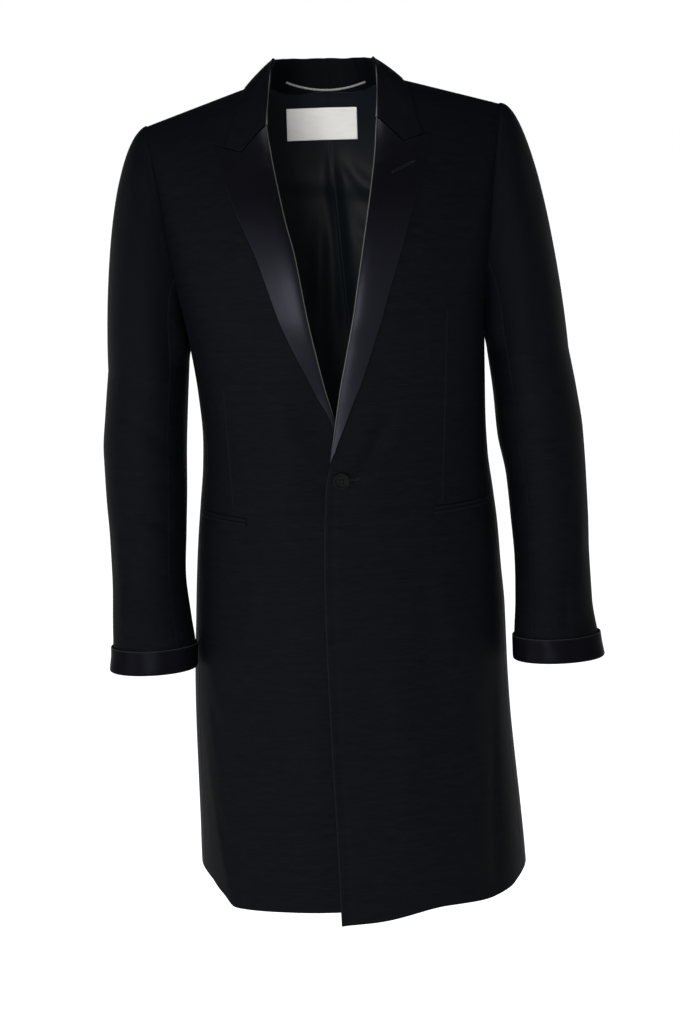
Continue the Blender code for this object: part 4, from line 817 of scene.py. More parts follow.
def cuff(side):
    """Cuff: the arm's lowest rings, moved out and up by a profile that folds round the sleeve's end."""
    lying, hidden = LAY + SATIN, -CLOTH - LAY
    below_edge, half_way = CUFF_HEIGHT - 0.0008, CUFF_HEIGHT * 0.55
    # Step, distance out and height above the fold of the shown face, then the same of the hidden face
    profile = (
        (0.0, lying + CUFF_FLARE, CUFF_HEIGHT, LAY + CUFF_FLARE, CUFF_HEIGHT),
        (0.06, lying + CUFF_FLARE, below_edge, LAY + CUFF_FLARE, below_edge),
        (1.0, lying + CUFF_FLARE * 0.6, half_way, LAY + CUFF_FLARE * 0.6, half_way),
        (2.0, lying, 0.0016, LAY, 0.0024),
        (3.0, -CLOTH / 2, 0.0, -CLOTH / 2, SATIN),
        (4.0, hidden - SATIN, 0.0016, hidden, 0.0024),
        (5.0, hidden - SATIN, CUFF_INSIDE, hidden, CUFF_INSIDE),
    )
    turn = np.linspace(0, 2 * np.pi, CUFF_COLUMNS, endpoint=False)
    low = SLEEVE[side][0][0]
    steps = np.concatenate([[0, 0.03, 0.06], np.linspace(0.15, 5.0, 40)])
    wave = CUFF_WAVE * np.sin(3 * turn + side) + CUFF_RIPPLE * np.sin(7 * turn)
    grids = []
    for off_column, up_column in ((1, 2), (3, 4)):
        off, rise = smooth(steps, profile, off_column), smooth(steps, profile, up_column)
        ring = arm_ring(side, low + rise, turn)
        beside = arm_ring(side, low + rise - 1e-4, turn)
        centre = ring.mean(axis=1, keepdims=True)
        across = np.roll(ring, -1, axis=1) - np.roll(ring, 1, axis=1)
        normal = unit(np.cross(across, ring - beside))
        normal = np.where((normal * (ring - centre)).sum(-1, keepdims=True) < 0, -normal, normal)
        soft = wave[None] * step(steps, 1.8, 0.0)[:, None]
        grids.append(ring + normal * (off[:, None] + soft)[..., None])
    outer, inner = rounded_rim(*grids, around=True)
    # Painted highlight: a lighter band along the cuff's top edge, where light catches it
    highlight_paint = CUFF_HIGHLIGHT_PAINT * np.exp(-(steps[:, None] / 0.05) ** 2) + 0 * turn
    made = cloth_wall(SIDE_NAME[side] + "_cuff_satin", outer, inner, CUFF_SATIN, painted_highlight=highlight_paint, around=True)
    sew_on(made, "cuff_" + SIDE_NAME[side])


for wearer_side in (RIGHT, LEFT):
    cuff(wearer_side)


# Lapels: peaked satin facings. Each comes up inside the front's edge, rolls round it in a soft unpressed fold and
# lies on the chest out to its peak, with canvas in it that keeps the roll.
NOTCH_SHARE, NOTCH_LEVEL, PEAK_LEVEL = 0.52, 0.164, 0.178
ROLL_PUFF_AT = 0.011
ROLL_PUFF, ROLL_PUFF_GROWS = 0.0005, 0.0006
ROLL_TURNS = np.linspace(-90, 72, 15)  # degrees round the front's edge, from inside it to the shown face
# strength of the painted highlight round the lapel's roll
LAPEL_HIGHLIGHT_PAINT = 0.60
LAPEL_ROWS = (110, 0.0022)
LAPEL_TUCK = 0.004
LAPEL_TAPER = 0.012                    # the outer edge starts this much above the roll's lower end
LAPEL_SATIN = satin_cloth("midnight satin", 0.075)
# Outer edge of each lapel, to its own side of the centre: level, left lapel, right lapel
LAPEL_EDGE = (
    (-0.170, -0.0150, -0.0035), (-0.149, -0.0075, 0.0030), (-0.131, 0.0005, 0.0095), (-0.112, 0.0085, 0.0165),
    (-0.094, 0.0164, 0.0265), (-0.074, 0.0255, 0.0350), (-0.028, 0.0426, 0.0555), (0.015, 0.0586, 0.0720),
    (0.063, 0.0784, 0.0890), (0.094, 0.0902, 0.1030), (0.124, 0.1018, 0.1150), (0.150, 0.1110, 0.1240),
    (0.178, 0.1190, 0.1305),
)


def revers_top(share):
    """Level of the lapel's seam and top edge at a share of its width: straight to the notch and to the peak."""
    return np.interp(share, [0, NOTCH_SHARE, 1], [GORGE_LEVEL, NOTCH_LEVEL, PEAK_LEVEL])


def revers_x(side, share, level):
    """Distance from the centre of a point of the lapel at a share of its width."""
    edge = front_edge_x(side, level)
    tip = smooth(level, LAPEL_EDGE, 2 if side == RIGHT else 1)
    return edge + np.maximum(tip - edge, 0.003) * share


def lapel_face(side, share, level):
    """Points of the lapel's shown face, its direction and its height on the front: a roll that stands highest a
    centimetre from the fold and settles towards the edge as t times e to the 1 - t."""
    x = revers_x(side, share, level)
    points, normals = front_surface(side, place_of(side, x, level), level)
    off = x - front_edge_x(side, level)
    rise = (level - BREAK_LEVEL) / (GORGE_LEVEL - BREAK_LEVEL)
    full = ROLL_PUFF + ROLL_PUFF_GROWS * np.clip(rise, 0, 1)
    return points, normals, full * (off / ROLL_PUFF_AT) * np.exp(1 - off / ROLL_PUFF_AT)


def lapel(side):
    """Lapel: columns from its tuck inside the front, round the roll and out over the chest to the peak."""
    rise = close_ends(*LAPEL_ROWS)
    share = np.concatenate([[0.0], np.linspace(0.02, 0.97, 40), [0.985, 0.993, 1.0]])
    start = BREAK_LEVEL + LAPEL_TAPER * share
    level = start + rise[:, None] * (revers_top(share) - start)
    points, normals, soft = lapel_face(side, share, level)
    lying = points + normals * (LAY + SATIN + soft)[..., None]
    lying_under = points + normals * (LAY + soft)[..., None]
    away = unit(points[:, :1] - points[:, 1:2])
    away = unit(away - normals[:, :1] * (away * normals[:, :1]).sum(-1, keepdims=True))
    centre = points[:, :1] - normals[:, :1] * CLOTH / 2
    turn = np.radians(ROLL_TURNS)[None, :, None]
    round_it = normals[:, :1] * np.sin(turn) + away * np.cos(turn)
    inside = centre - away * LAPEL_TUCK
    outer = np.concatenate([
        inside - normals[:, :1] * ROLL_RADIUS, centre + round_it * ROLL_RADIUS, lying], axis=1)
    inner = np.concatenate([
        inside - normals[:, :1] * (ROLL_RADIUS - SATIN), centre + round_it * (ROLL_RADIUS - SATIN), lying_under],
        axis=1)
    angle = np.concatenate([[-120], ROLL_TURNS, np.full(len(share), 400)])
    # Painted highlight: a lighter band round the roll's edge, where light catches it, from just above the break up
    highlight_paint = LAPEL_HIGHLIGHT_PAINT * (step(angle, 58, 42) * step(angle, -70, -30))[None] * step(rise, 0.0, 0.08)[:, None]
    faces = rounded_rim(*seams(outer, inner, last_row=TOP_SEAM))
    made = cloth_wall(SIDE_NAME[side] + "_lapel_satin", *faces, LAPEL_SATIN, painted_highlight=highlight_paint)
    sew_on(made, "lapel_" + SIDE_NAME[side])


for wearer_side in (RIGHT, LEFT):
    lapel(wearer_side)


# Collar: one piece of the body cloth round the neck. Its stand rises inside the neck seam, and its leaf falls
# outside over the shoulder seams and the back neck, and meets the lapels along the gorge.
COLLAR = 0.0014
SHOULDER_AT = 0.457
COLLAR_TIP_SHARE = 0.86
COLLAR_TUCK = 0.005
STAND_IN = 0.0056
LEAF_LAY = 0.0010
COLLAR_FOLD = 0.0024
COLLAR_BULGE = 0.0012
COLLAR_WIDER = 0.09                    # the right half's leaf is this much wider at the gorge
NECK_MIDDLE = np.array([0.0, -0.012, 0.0])
COLLAR_COLUMNS = 56
COLLAR_RIM = 0.114754                  # the last column but one lies this share of a coarse one from the edge
# strength of the painted highlight along the collar's fold in front
COLLAR_HIGHLIGHT_PAINT = 0.80
# Share of the way from gorge to centre back, inward lean of the fold, x and level of the leaf's edge, and height of
# the fold above the neckline at the wearer's right and left
COLLAR_ROWS = (
    (0.000, 0.0030, 0.1107, 0.1739, 0.0030, 0.0030), (0.150, 0.0042, 0.1060, 0.1870, 0.0095, 0.0095),
    (0.300, 0.0048, 0.1000, 0.2060, 0.0160, 0.0155), (0.457, 0.0082, 0.0885, 0.2260, 0.0244, 0.0206),
    (0.600, 0.0085, 0.0790, 0.2202, 0.0328, 0.0300), (0.750, 0.0060, 0.0580, 0.2097, 0.0365, 0.0341),
    (0.900, 0.0040, 0.0260, 0.1999, 0.0350, 0.0339), (1.000, 0.0030, 0.0000, 0.1975, 0.0325, 0.0325),
)


def finer(columns, at):
    """The same grid with columns at other places, on Catmull-Rom curves through the given ones."""
    last = columns.shape[1] - 1
    i = np.clip(at.astype(int), 0, last - 1)
    t = (at - i)[None, :, None]
    before, here = columns[:, np.maximum(i - 1, 0)], columns[:, i]
    there, beyond = columns[:, i + 1], columns[:, np.minimum(i + 2, last)]
    return 0.5 * (2 * here + (there - before) * t + (2 * before - 5 * here + 4 * there - beyond) * t**2
                  + (3 * here - before - 3 * there + beyond) * t**3)


def collar_half(side):
    """Half of the collar from the gorge to the centre back. A row goes up inside the neck, over the fold and down
    outside to the leaf's edge. It follows the lapel's own section at the gorge and turns into an upright stand and
    a falling leaf before the shoulder seam."""
    from_gorge = np.concatenate([[0, 0.012, 0.03], np.linspace(0.06, 1, 36)])
    to_back = np.linspace(0, 1, 44)[1:]
    t = np.concatenate([from_gorge * SHOULDER_AT, SHOULDER_AT + to_back * (1 - SHOULDER_AT)])
    ahead = t <= SHOULDER_AT + 1e-9
    neck_level = np.concatenate([
        GORGE_LEVEL + (SCYE - GORGE_LEVEL) * np.sin(from_gorge * np.pi / 2) ** OVAL, SCYE - neck_dip(1 - to_back)])
    front_place = place_of(side, front_edge_x(side, neck_level[ahead]), neck_level[ahead])
    neck_place = np.concatenate([front_place, 1 - back_neck(side) * (1 - to_back)])
    foot, normal = front_surface(side, neck_place, neck_level)
    up = np.array([0.0, 0.0, 1.0])
    inward = unit((NECK_MIDDLE - foot) * np.array([1.0, 1.0, 0.0]))
    lean = smooth(t, COLLAR_ROWS, 1)[:, None]
    height = smooth(t, COLLAR_ROWS, 4 if side == RIGHT else 5)[:, None]
    edge_x = smooth(t, COLLAR_ROWS, 2) * np.where(side == RIGHT, 1 + COLLAR_WIDER * (1 - t) ** 3, 1)
    edge_level = smooth(t, COLLAR_ROWS, 3)
    edge_place = np.where(ahead, place_of(side, edge_x, edge_level),
                          place_of(side, np.maximum(edge_x, 0), edge_level, at_back=True))
    edge, edge_normal = front_surface(side, edge_place, edge_level)
    edge = edge + edge_normal * (LEAF_LAY + COLLAR)

    lay = LEAF_LAY * (0.7 + 0.3 * step(t, 0, 0.1))
    upright = step(t, 0.0, 0.34)[:, None]
    foot_in = foot + inward * STAND_IN
    fold = foot + up * height + inward * (STAND_IN / 2 + lean)
    stand = [
        foot_in - up * COLLAR_TUCK, foot_in, foot_in + (fold - foot_in) * 0.5 + inward * 0.001,
        fold + inward * COLLAR_FOLD * 0.9 - up * COLLAR_FOLD * 0.5, fold + up * COLLAR_FOLD * 0.4,
        fold - inward * COLLAR_FOLD * 0.9 - up * COLLAR_FOLD * 0.5]
    beside, _ = front_surface(side, neck_place + 0.01, neck_level)
    away = unit(foot - beside)
    away = unit(away - normal * (away * normal).sum(-1, keepdims=True))
    centre = foot - normal * CLOTH / 2
    radius = CLOTH / 2 + COLLAR + lay[:, None]
    rolled = [centre - away * LAPEL_TUCK - normal * radius, centre - normal * radius]
    for angle in np.radians([-60.0, -25.0, 15.0, 50.0]):
        rolled.append(centre + radius * (normal * np.sin(angle) + away * np.cos(angle)))
    columns = [r + (s - r) * upright for r, s in zip(rolled, stand)]

    share = np.array([0.07, 0.18, 0.34, NOTCH_SHARE, 0.69, COLLAR_TIP_SHARE])
    part = share / COLLAR_TIP_SHARE
    top = revers_top(share)
    level = (top + (1 - part) * (neck_level - GORGE_LEVEL)[:, None]
             + part * (edge_level - revers_top(COLLAR_TIP_SHARE))[:, None])
    straight = np.abs(foot[:, :1]) + (edge_x[:, None] - np.abs(foot[:, :1])) * part
    x = straight + (revers_x(side, share, top) - straight[0]) * (1 - step(t, 0, SHOULDER_AT))[:, None]
    lying, lying_normal = front_surface(side, place_of(side, x, level), level)
    lying = lying + lying_normal * (lay + COLLAR)[:, None, None]
    falls = step(t, 0.10, SHOULDER_AT)[:, None]
    for k, c in enumerate(part):
        bulge = COLLAR_BULGE * 4 * c * (1 - c)
        falling = stand[5] + (edge - stand[5]) * c + unit(up - inward) * bulge
        columns.append(lying[:, k] + (falling - lying[:, k]) * falls)
    looks = [inward, inward, inward, inward + 0.5 * up, up + away * (1 - upright), up - inward]
    looks += [0.6 * up - inward + normal] * len(part)
    return np.stack(columns, axis=1), np.stack(looks, axis=1)


def collar():
    """Collar from gorge to gorge: both halves, made finer across and walled inwards by the cloth's thickness. A
    highlight is painted along the fold in front, between two of the coarse columns."""
    left, left_looks = collar_half(LEFT)
    right, right_looks = collar_half(RIGHT)
    coarse = np.concatenate([left, right[-2::-1]])
    looks = np.concatenate([left_looks, right_looks[-2::-1]])
    column = np.linspace(0, coarse.shape[1] - 1, COLLAR_COLUMNS)
    rimmed = np.concatenate([column[:-2], [column[-1] - COLLAR_RIM, column[-1]]])
    outer = finer(coarse, rimmed)
    inner = outer - grid_normals(outer, finer(looks, column)) * COLLAR
    ahead = np.abs(np.linspace(-1, 1, len(outer)))[:, None]
    last = 3.95 + 1.05 * step(ahead, 0.84, 1.0)
    across = step(column, 3.50, 3.75)[None] * step(column[None] - last, 0.15, -0.1)
    highlight_paint = COLLAR_HIGHLIGHT_PAINT * step(ahead, 0.66, 0.76) * across
    faces = rounded_rim(*seams(outer, inner, first_row=TOP_SEAM, last_row=TOP_SEAM))
    made = cloth_wall("collar_cloth", *faces, WOOL, painted_highlight=highlight_paint)
    sew_on(made, "collar")


collar()


# Pockets: a slit in each front at the hip, bound by two narrow jets of the body cloth, with no flap.
JETS = {RIGHT: (0.1180, -0.5063, 0.1700, -0.5015), LEFT: (0.1015, -0.5018, 0.1690, -0.5010)}
JET_WIDTH = 0.0095
JET_GAP = 0.0002
JET_EDGE, JET_LIP = 0.0003, 0.0010
# strength of the painted highlight on the jets' lips
JET_HIGHLIGHT_PAINT = 0.010


def jets(side):
    """Two lips: the height across the pocket is a rounded hump to each side of a narrow dip, the slit."""
    x0, z0, x1, z1 = JETS[side]
    along = np.linspace(0, 1, 80)[:, None]
    across = np.linspace(-0.5, 0.5, 41)[None]
    hump = np.clip(1 - ((np.abs(across) - 0.25) / 0.25) ** 2, 0, 1) ** 0.5
    lip = JET_EDGE + JET_LIP * hump
    x = x0 + (x1 - x0) * along + across * 0
    z = z0 + (z1 - z0) * along + JET_WIDTH * across
    level = z - UNDERARM_Z
    points, normals = front_surface(side, place_of(side, x, level), level)
    # Painted highlight along the crown of each lip
    highlight_paint = JET_HIGHLIGHT_PAINT * np.exp(-((np.abs(across) - 0.28) / 0.07) ** 2) * np.ones(along.shape)
    faces = rounded_rim(points + normals * (JET_GAP + lip)[..., None], points + normals * JET_GAP * 0.5)
    made = cloth_wall(SIDE_NAME[side] + "_pocket_jets", *faces, WOOL, painted_highlight=highlight_paint)
    attach(made, "jets_" + SIDE_NAME[side])


for wearer_side in (RIGHT, LEFT):
    jets(wearer_side)


# Back lining: one piece of dark teal satin from side to side, with a centre seam and an ease pleat below the neck
# that opens towards the left. It hangs a little full, so it rests in soft creases.
LINING_WALL = 0.0010
LINING_LOW, LINING_TOP = -0.640, 0.200
LINING_ROWS = (150, 0.001)
LINING_CLEAR, LINING_CLEAR_HIGH = 0.0014, 0.0026
LINING_SIDE, LINING_ARMHOLE = 0.44, 0.668
LINING_TUCK = 0.0019                   # its top edge moves out by this much, to pass behind the collar's stand
PLEAT_HEIGHT, PLEAT_FADES = 0.0022, 0.011
LINING_SEAM = (0.0006, 0.0012)         # depth and half-width of the dip along the centre seam
LINING_DEEPEST = -0.0006
# Line of the pleat and, above it, of the centre seam: level, x
PLEAT = ((-0.640, 0.0200), (-0.300, 0.0200), (-0.060, 0.0160), (0.060, 0.0090), (0.150, 0.0040), (0.200, 0.0035))
# Creases of the lining: 0, start x and level, end x and level, half-width, height, bow
LINING_FOLDS = (
    (0, 0.004, 0.150, 0.016, -0.060, 0.009, 0.0045, 0.000),
    (0, -0.006, 0.110, -0.030, -0.180, 0.013, 0.0040, 0.004),
    (0, -0.070, 0.128, 0.075, 0.112, 0.010, 0.0025, 0.006),
    (0, 0.015, 0.140, 0.090, 0.095, 0.009, 0.0030, 0.004),
    (0, -0.080, 0.090, -0.015, 0.050, 0.012, 0.0030, 0.004),
    (0, 0.060, -0.050, 0.075, -0.420, 0.020, 0.0040, 0.006),
    (0, -0.080, -0.120, -0.095, -0.480, 0.020, 0.0040, 0.006),
    (0, -0.075, 0.060, -0.010, 0.005, 0.009, 0.0020, -0.003),
    (0, 0.030, 0.075, 0.085, 0.030, 0.009, 0.0018, 0.003),
    (0, -0.060, 0.010, -0.012, -0.060, 0.008, 0.0016, 0.003),
    (0, 0.025, -0.010, 0.060, -0.100, 0.009, 0.0018, 0.003),
    (0, 0.020, -0.150, 0.030, -0.420, 0.014, 0.0022, 0.003),
    (0, -0.035, -0.220, -0.030, -0.560, 0.014, 0.0022, -0.003),
)


def lining_surface(side, place, level):
    """Face of the lining that shows inside the coat and the direction out of the coat there: the body, moved in by
    the cloth, the gap and the folds. The pleat is a sharp step that fades out to one side."""
    points, normals = body(side, place, level), body_normal(side, place, level)
    x = points[..., 0]
    height = fold_height(LINING_FOLDS, x, level, 0)
    off = x - smooth(level, PLEAT, 1)
    lower = step(level, 0.155, 0.060) * step(level, -0.60, -0.30)
    pleat = step(off, -0.0010, 0.0010) * np.exp(-np.maximum(off, 0) / PLEAT_FADES)
    depth, half = LINING_SEAM
    height = height + PLEAT_HEIGHT * lower * pleat - depth * np.exp(-(off / half) ** 2) * step(level, 0.10, 0.14)
    clear = LINING_CLEAR + (LINING_CLEAR_HIGH - LINING_CLEAR) * step(level, 0.10, 0.18)
    inwards = CLOTH + clear + LINING_WALL + np.maximum(height, LINING_DEEPEST)
    return points - normals * inwards[..., None], normals


def back_lining():
    """Back lining: both halves from the sides to the centre, with its top edge behind the collar's stand."""
    levels = LINING_LOW + (LINING_TOP - LINING_LOW) * close_ends(*LINING_ROWS)
    share = np.concatenate([[0, 0.006, 0.015], np.linspace(0.03, 0.80, 34), np.linspace(0.81, 1.0, 40)])
    halves = []
    for side in (RIGHT, LEFT):
        low = LINING_SIDE + (LINING_ARMHOLE - LINING_SIDE) * step(levels, -0.05, 0.03)
        place = 1 - columns_between(1 - low[:, None], 0.0, share)
        stop = SCYE - neck_dip((1 - place) / back_neck(side)) - COLLAR_TUCK * 0.45
        level = levels[:, None] + (stop - LINING_TOP) * step(levels[:, None], GORGE_LEVEL - 0.07, LINING_TOP)
        shown, normals = lining_surface(side, place, level)
        tucked = LINING_TUCK * step(levels, LINING_TOP - 0.009, LINING_TOP - 0.004)
        halves.append((shown + normals * tucked[:, None, None], normals))
    right, left = halves
    shown = np.concatenate([right[0], left[0][:, -2::-1]], axis=1)
    normals = np.concatenate([right[1], left[1][:, -2::-1]], axis=1)
    faces = rounded_rim(shown, shown + normals * LINING_WALL)
    made = cloth_wall("back_lining_satin", *faces, LINING)
    sew_on(made, "back_lining")


back_lining()


# Label: a bare ivory satin label, woven edge to edge with its ends folded under, sewn to the lining at its corners.
LABEL_MIDDLE = (-0.0053, -0.0480)
LABEL_SIZE = (0.088, 0.040)
LABEL_TILT = np.radians(-1.2)
LABEL_THICKNESS = 0.0010
LABEL_GAP = 0.0008
LABEL_FULL = 0.0003                    # how much fuller it is at its folded ends


def ivory_satin():
    """Ivory label satin: fine ribs across it, a mild shine and a faint cloudiness."""
    made, tree, shader = finish_of("ivory label satin", (0.90, 0.89, 0.86), 0.45, Specular_IOR_Level=0.4,
                                   Sheen_Weight=0.15, Sheen_Roughness=0.4)
    cloud = streaks(tree, (60.0, 200.0))
    cloth = blend_colours(tree, cloud.outputs[0], (0.84, 0.83, 0.80), (0.95, 0.94, 0.91))
    tree.links.new(cloth, shader.inputs["Base Color"])
    weave_bump(tree, shader, ((yarns(tree, "Y", 0.0006), 0.6), (cloud.outputs[0], 0.5)), 0.25, 0.0002)
    return made


IVORY = ivory_satin()


def on_lining(x, z):
    """Points of the lining's shown face and its outward direction at these x and heights."""
    points, normals = np.zeros((*x.shape, 3)), np.zeros((*x.shape, 3))
    for which in (RIGHT, LEFT):
        own = np.maximum(x * which, 1e-5)
        level = level_of(which, own, z)
        found, facing = lining_surface(which, place_of(which, own, level, at_back=True), level)
        mine = (np.where(x < 0, RIGHT, LEFT) == which)[..., None]
        points, normals = np.where(mine, found, points), np.where(mine, facing, normals)
    return points, normals


def label_spot(across, up):
    """x and height of a point of the label, from its middle."""
    x = LABEL_MIDDLE[0] + across * np.cos(LABEL_TILT) - up * np.sin(LABEL_TILT)
    return x, LABEL_MIDDLE[1] + across * np.sin(LABEL_TILT) + up * np.cos(LABEL_TILT)


def label():
    """Label: a thin wall on the lining, smoothed over its creases and a little fuller at its folded ends."""
    few, many = (5, 7), (29, 61)
    u, v = np.meshgrid(np.linspace(-0.5, 0.5, few[1]), np.linspace(-0.5, 0.5, few[0]))
    rows, columns = [np.linspace(0, coarse - 1, fine) for coarse, fine in zip(few, many)]
    points, normals = [
        finer(finer(grid, columns).transpose(1, 0, 2), rows).transpose(1, 0, 2)
        for grid in on_lining(*label_spot(u * LABEL_SIZE[0], v * LABEL_SIZE[1]))]
    u = np.linspace(-0.5, 0.5, many[1])[None] + np.zeros((many[0], 1))
    full = LABEL_FULL * np.exp(-((np.abs(u) - 0.475) / 0.02) ** 2)
    back_face = points - normals * LABEL_GAP
    front_face = back_face - normals * (LABEL_THICKNESS + full)[..., None]
    made = cloth_wall("neck_label", *rounded_rim(front_face, back_face), IVORY)
    sew_on(made, "label")


label()


# Hanger loop: a thin silvery cord of two twisted strands, sewn into the collar seam at both ends, hanging slack.
LOOP_ENDS = (-0.0512, 0.0000, 0.0553, -0.0038)
LOOP_SAG = 0.0088
LOOP_RADIUS = 0.0013
LOOP_IN = STAND_IN + 0.0036
LOOP_TWIST = 0.0052                    # length of cord in which a strand goes once round
LOOP_SIDES = 14


def silver_cord():
    """Silver grey cord: smooth filament yarn with a soft shine, darker between its strands."""
    made, tree, shader = finish_of("silver grey cord", (0.18, 0.18, 0.175), 0.42, Specular_IOR_Level=0.5,
                                   Sheen_Weight=0.2)
    fibre = streaks(tree, (2600.0, 260.0))
    cloth = blend_colours(tree, fibre.outputs[0], (0.10, 0.10, 0.097), (0.26, 0.26, 0.25))
    tree.links.new(cloth, shader.inputs["Base Color"])
    weave_bump(tree, shader, ((fibre.outputs[0], 1.0),), 0.3, 0.0002)
    return made


def strand(path, across, over, radius, sides, core):
    """Both faces of a thread for cloth_wall: rings round a path, a cosine along one direction and a sine along the
    other, and a core inside them that is a share of their size."""
    turn = np.linspace(0, 2 * np.pi, sides, endpoint=False)[None, :, None]
    rings = path[:, None] + radius * (across[:, None] * np.cos(turn) + over[:, None] * np.sin(turn))
    return rings, path[:, None] + core * (rings - path[:, None])


def hanger_loop():
    """Loop: a tube along a shallow parabola that follows the neck inside the stand. Its radius is that of two
    strands twisted together, one plus a cosine of twice the angle less the twist."""
    s = np.linspace(0, 1, 260)
    x0, z0, x1, z1 = LOOP_ENDS
    x = x0 + (x1 - x0) * s
    z = z0 + (z1 - z0) * s - LOOP_SAG * 4 * s * (1 - s)
    share = np.linspace(0, 1, 60)
    y = np.zeros(len(s))
    for side in (RIGHT, LEFT):
        line = body(side, 1 - back_neck(side) * share, SCYE - neck_dip(share))
        found = np.interp(np.abs(x), np.abs(line[:, 0]), line[:, 1])
        y = np.where((x < 0) == (side == RIGHT), found, y)
    foot = np.stack([x, y, z], axis=1)
    path = foot + unit(foot * np.array([-1.0, -1.0, 0.0])) * LOOP_IN
    along = unit(np.gradient(path, axis=0))
    first = unit(np.cross(along, np.array([0.0, 1.0, 0.0])))
    second = np.cross(along, first)
    turn = np.linspace(0, 2 * np.pi, LOOP_SIDES, endpoint=False)[None]
    length = np.concatenate([[0], np.cumsum(np.linalg.norm(np.diff(path, axis=0), axis=1))])
    radius = LOOP_RADIUS * (0.93 + 0.10 * np.cos(2 * turn - 2 * np.pi * length[:, None] / LOOP_TWIST))
    faces = strand(path, first, second, radius[..., None], LOOP_SIDES, 0.02)
    made = cloth_wall("hanger_cord", *faces, silver_cord(), around=True)
    attach(made, "hanger_loop")


hanger_loop()


# Buttonholes: one worked in the left lapel, sewn shut and only for show, and one in the left front, mostly under
# the button. Each is a slit with a raised edge of close silk stitches.
LAPEL_HOLE = (0.0709, -0.1106, 0.0980, -0.0987)
FRONT_HOLE = (-0.0100, -0.4600, 0.0172, -0.4590)
HOLE_HALF_WIDTH = 0.0009
STITCH_RADIUS = 0.00042
THREAD_SIDES, THREAD_CORE = 10, 0.05


def silk_thread():
    """Dark silk thread of the buttonholes, with a soft shine."""
    made, tree, shader = finish_of("dark silk thread", (0.006, 0.007, 0.009), 0.42, Specular_IOR_Level=0.1)
    stitches = yarns(tree, "Y", 0.0007)
    tone = blend_colours(tree, stitches, (0.002, 0.0025, 0.0035), (0.007, 0.008, 0.010))
    tree.links.new(tone, shader.inputs["Base Color"])
    weave_bump(tree, shader, ((stitches, 1.0),), 0.6, 0.0003)
    return made


THREAD = silk_thread()


def worked_hole(name, surface, x0, z0, x1, z1, slot):
    """Buttonhole: a tube along a long thin oval round the slit, lying on the surface that is given."""
    angle = np.linspace(0, 2 * np.pi, 160, endpoint=False)
    length = np.hypot(x1 - x0, z1 - z0)
    along = np.array([x1 - x0, z1 - z0]) / length
    s = signed_power(np.cos(angle), 0.5) * length / 2
    off = signed_power(np.sin(angle), 0.5) * HOLE_HALF_WIDTH
    x = (x0 + x1) / 2 + along[0] * s - along[1] * off
    z = (z0 + z1) / 2 + along[1] * s + along[0] * off
    path, normal = surface(x, z)
    path = path + normal * STITCH_RADIUS * 0.4
    ahead = unit(np.roll(path, -1, axis=0) - np.roll(path, 1, axis=0))
    across = unit(np.cross(ahead, normal))
    closed = np.arange(len(path) + 1) % len(path)
    faces = strand(path[closed], across[closed], normal[closed], STITCH_RADIUS, THREAD_SIDES, THREAD_CORE)
    attach(cloth_wall(name, *faces, THREAD, around=True))


def on_left_lapel(x, z):
    """Points and direction of the left lapel's shown face at these x and heights."""
    level = level_of(LEFT, x, z)
    edge = front_edge_x(LEFT, level)
    share = (x - edge) / (smooth(level, LAPEL_EDGE, 1) - edge)
    points, normals, soft = lapel_face(LEFT, share, level)
    return points + normals * (LAY + SATIN + soft)[..., None], normals


def on_left_front(x, z):
    """Points and direction of the left front at these x and heights."""
    level = level_of(LEFT, x, z)
    return front_surface(LEFT, place_of(LEFT, x, level), level)


worked_hole("lapel_buttonhole", on_left_lapel, *LAPEL_HOLE, "satin")
worked_hole("front_buttonhole", on_left_front, *FRONT_HOLE, "wool")


# Button: one dark horn button, turned with a raised rim and a dished middle, sewn on through four holes with
# thread crossed between them.
BUTTON_AT = (-0.0041, -0.4598)
BUTTON_GAP = 0.0007
BUTTON_SIDES = 96
HOLE_OFF = 0.0019
HOLE_RADIUS = 0.0009
DRILL_FROM, DRILL_TO = -0.003, 0.006
CROSS_RADIUS = 0.00048                 # of the thread between the holes
CROSS_LOW, CROSS_RISE, CROSS_OVER = 0.0010, 0.0014, 0.0005
# Radius and height of the turned outline, from the middle of the back to the middle of the front
BUTTON_PROFILE = (
    (0.0004, 0.0), (0.0080, 0.0), (0.0092, 0.0004), (0.0097, 0.0009), (0.0100, 0.0018), (0.0099, 0.0024),
    (0.0096, 0.0030), (0.0091, 0.0034), (0.0086, 0.0034), (0.0080, 0.0032), (0.0074, 0.0028), (0.0067, 0.0023),
    (0.0058, 0.0020), (0.0040, 0.0019), (0.0004, 0.0019),
)


def dark_horn():
    """Dark horn: nearly black with faint brown streaks, half polished."""
    made, tree, shader = finish_of("dark horn", (0.003, 0.003, 0.004), 0.48, Specular_IOR_Level=0.020)
    spot = add_node(tree, "ShaderNodeTexCoord")
    spread = add_node(tree, "ShaderNodeMapping", {"Vector": spot.outputs["Object"], "Scale": (90.0, 90.0, 420.0)})
    streak = add_node(tree, "ShaderNodeTexNoise", {"Vector": spread.outputs["Vector"], "Scale": 1.0, "Detail": 4.0})
    tone = blend_colours(tree, streak.outputs[0], (0.002, 0.002, 0.003), (0.005, 0.0045, 0.005))
    tree.links.new(tone, shader.inputs["Base Color"])
    rough = add_node(tree, "ShaderNodeMapRange", {"Value": streak.outputs[0], "To Min": 0.40, "To Max": 0.56})
    tree.links.new(rough.outputs[0], shader.inputs["Roughness"])
    return made


HORN = dark_horn()


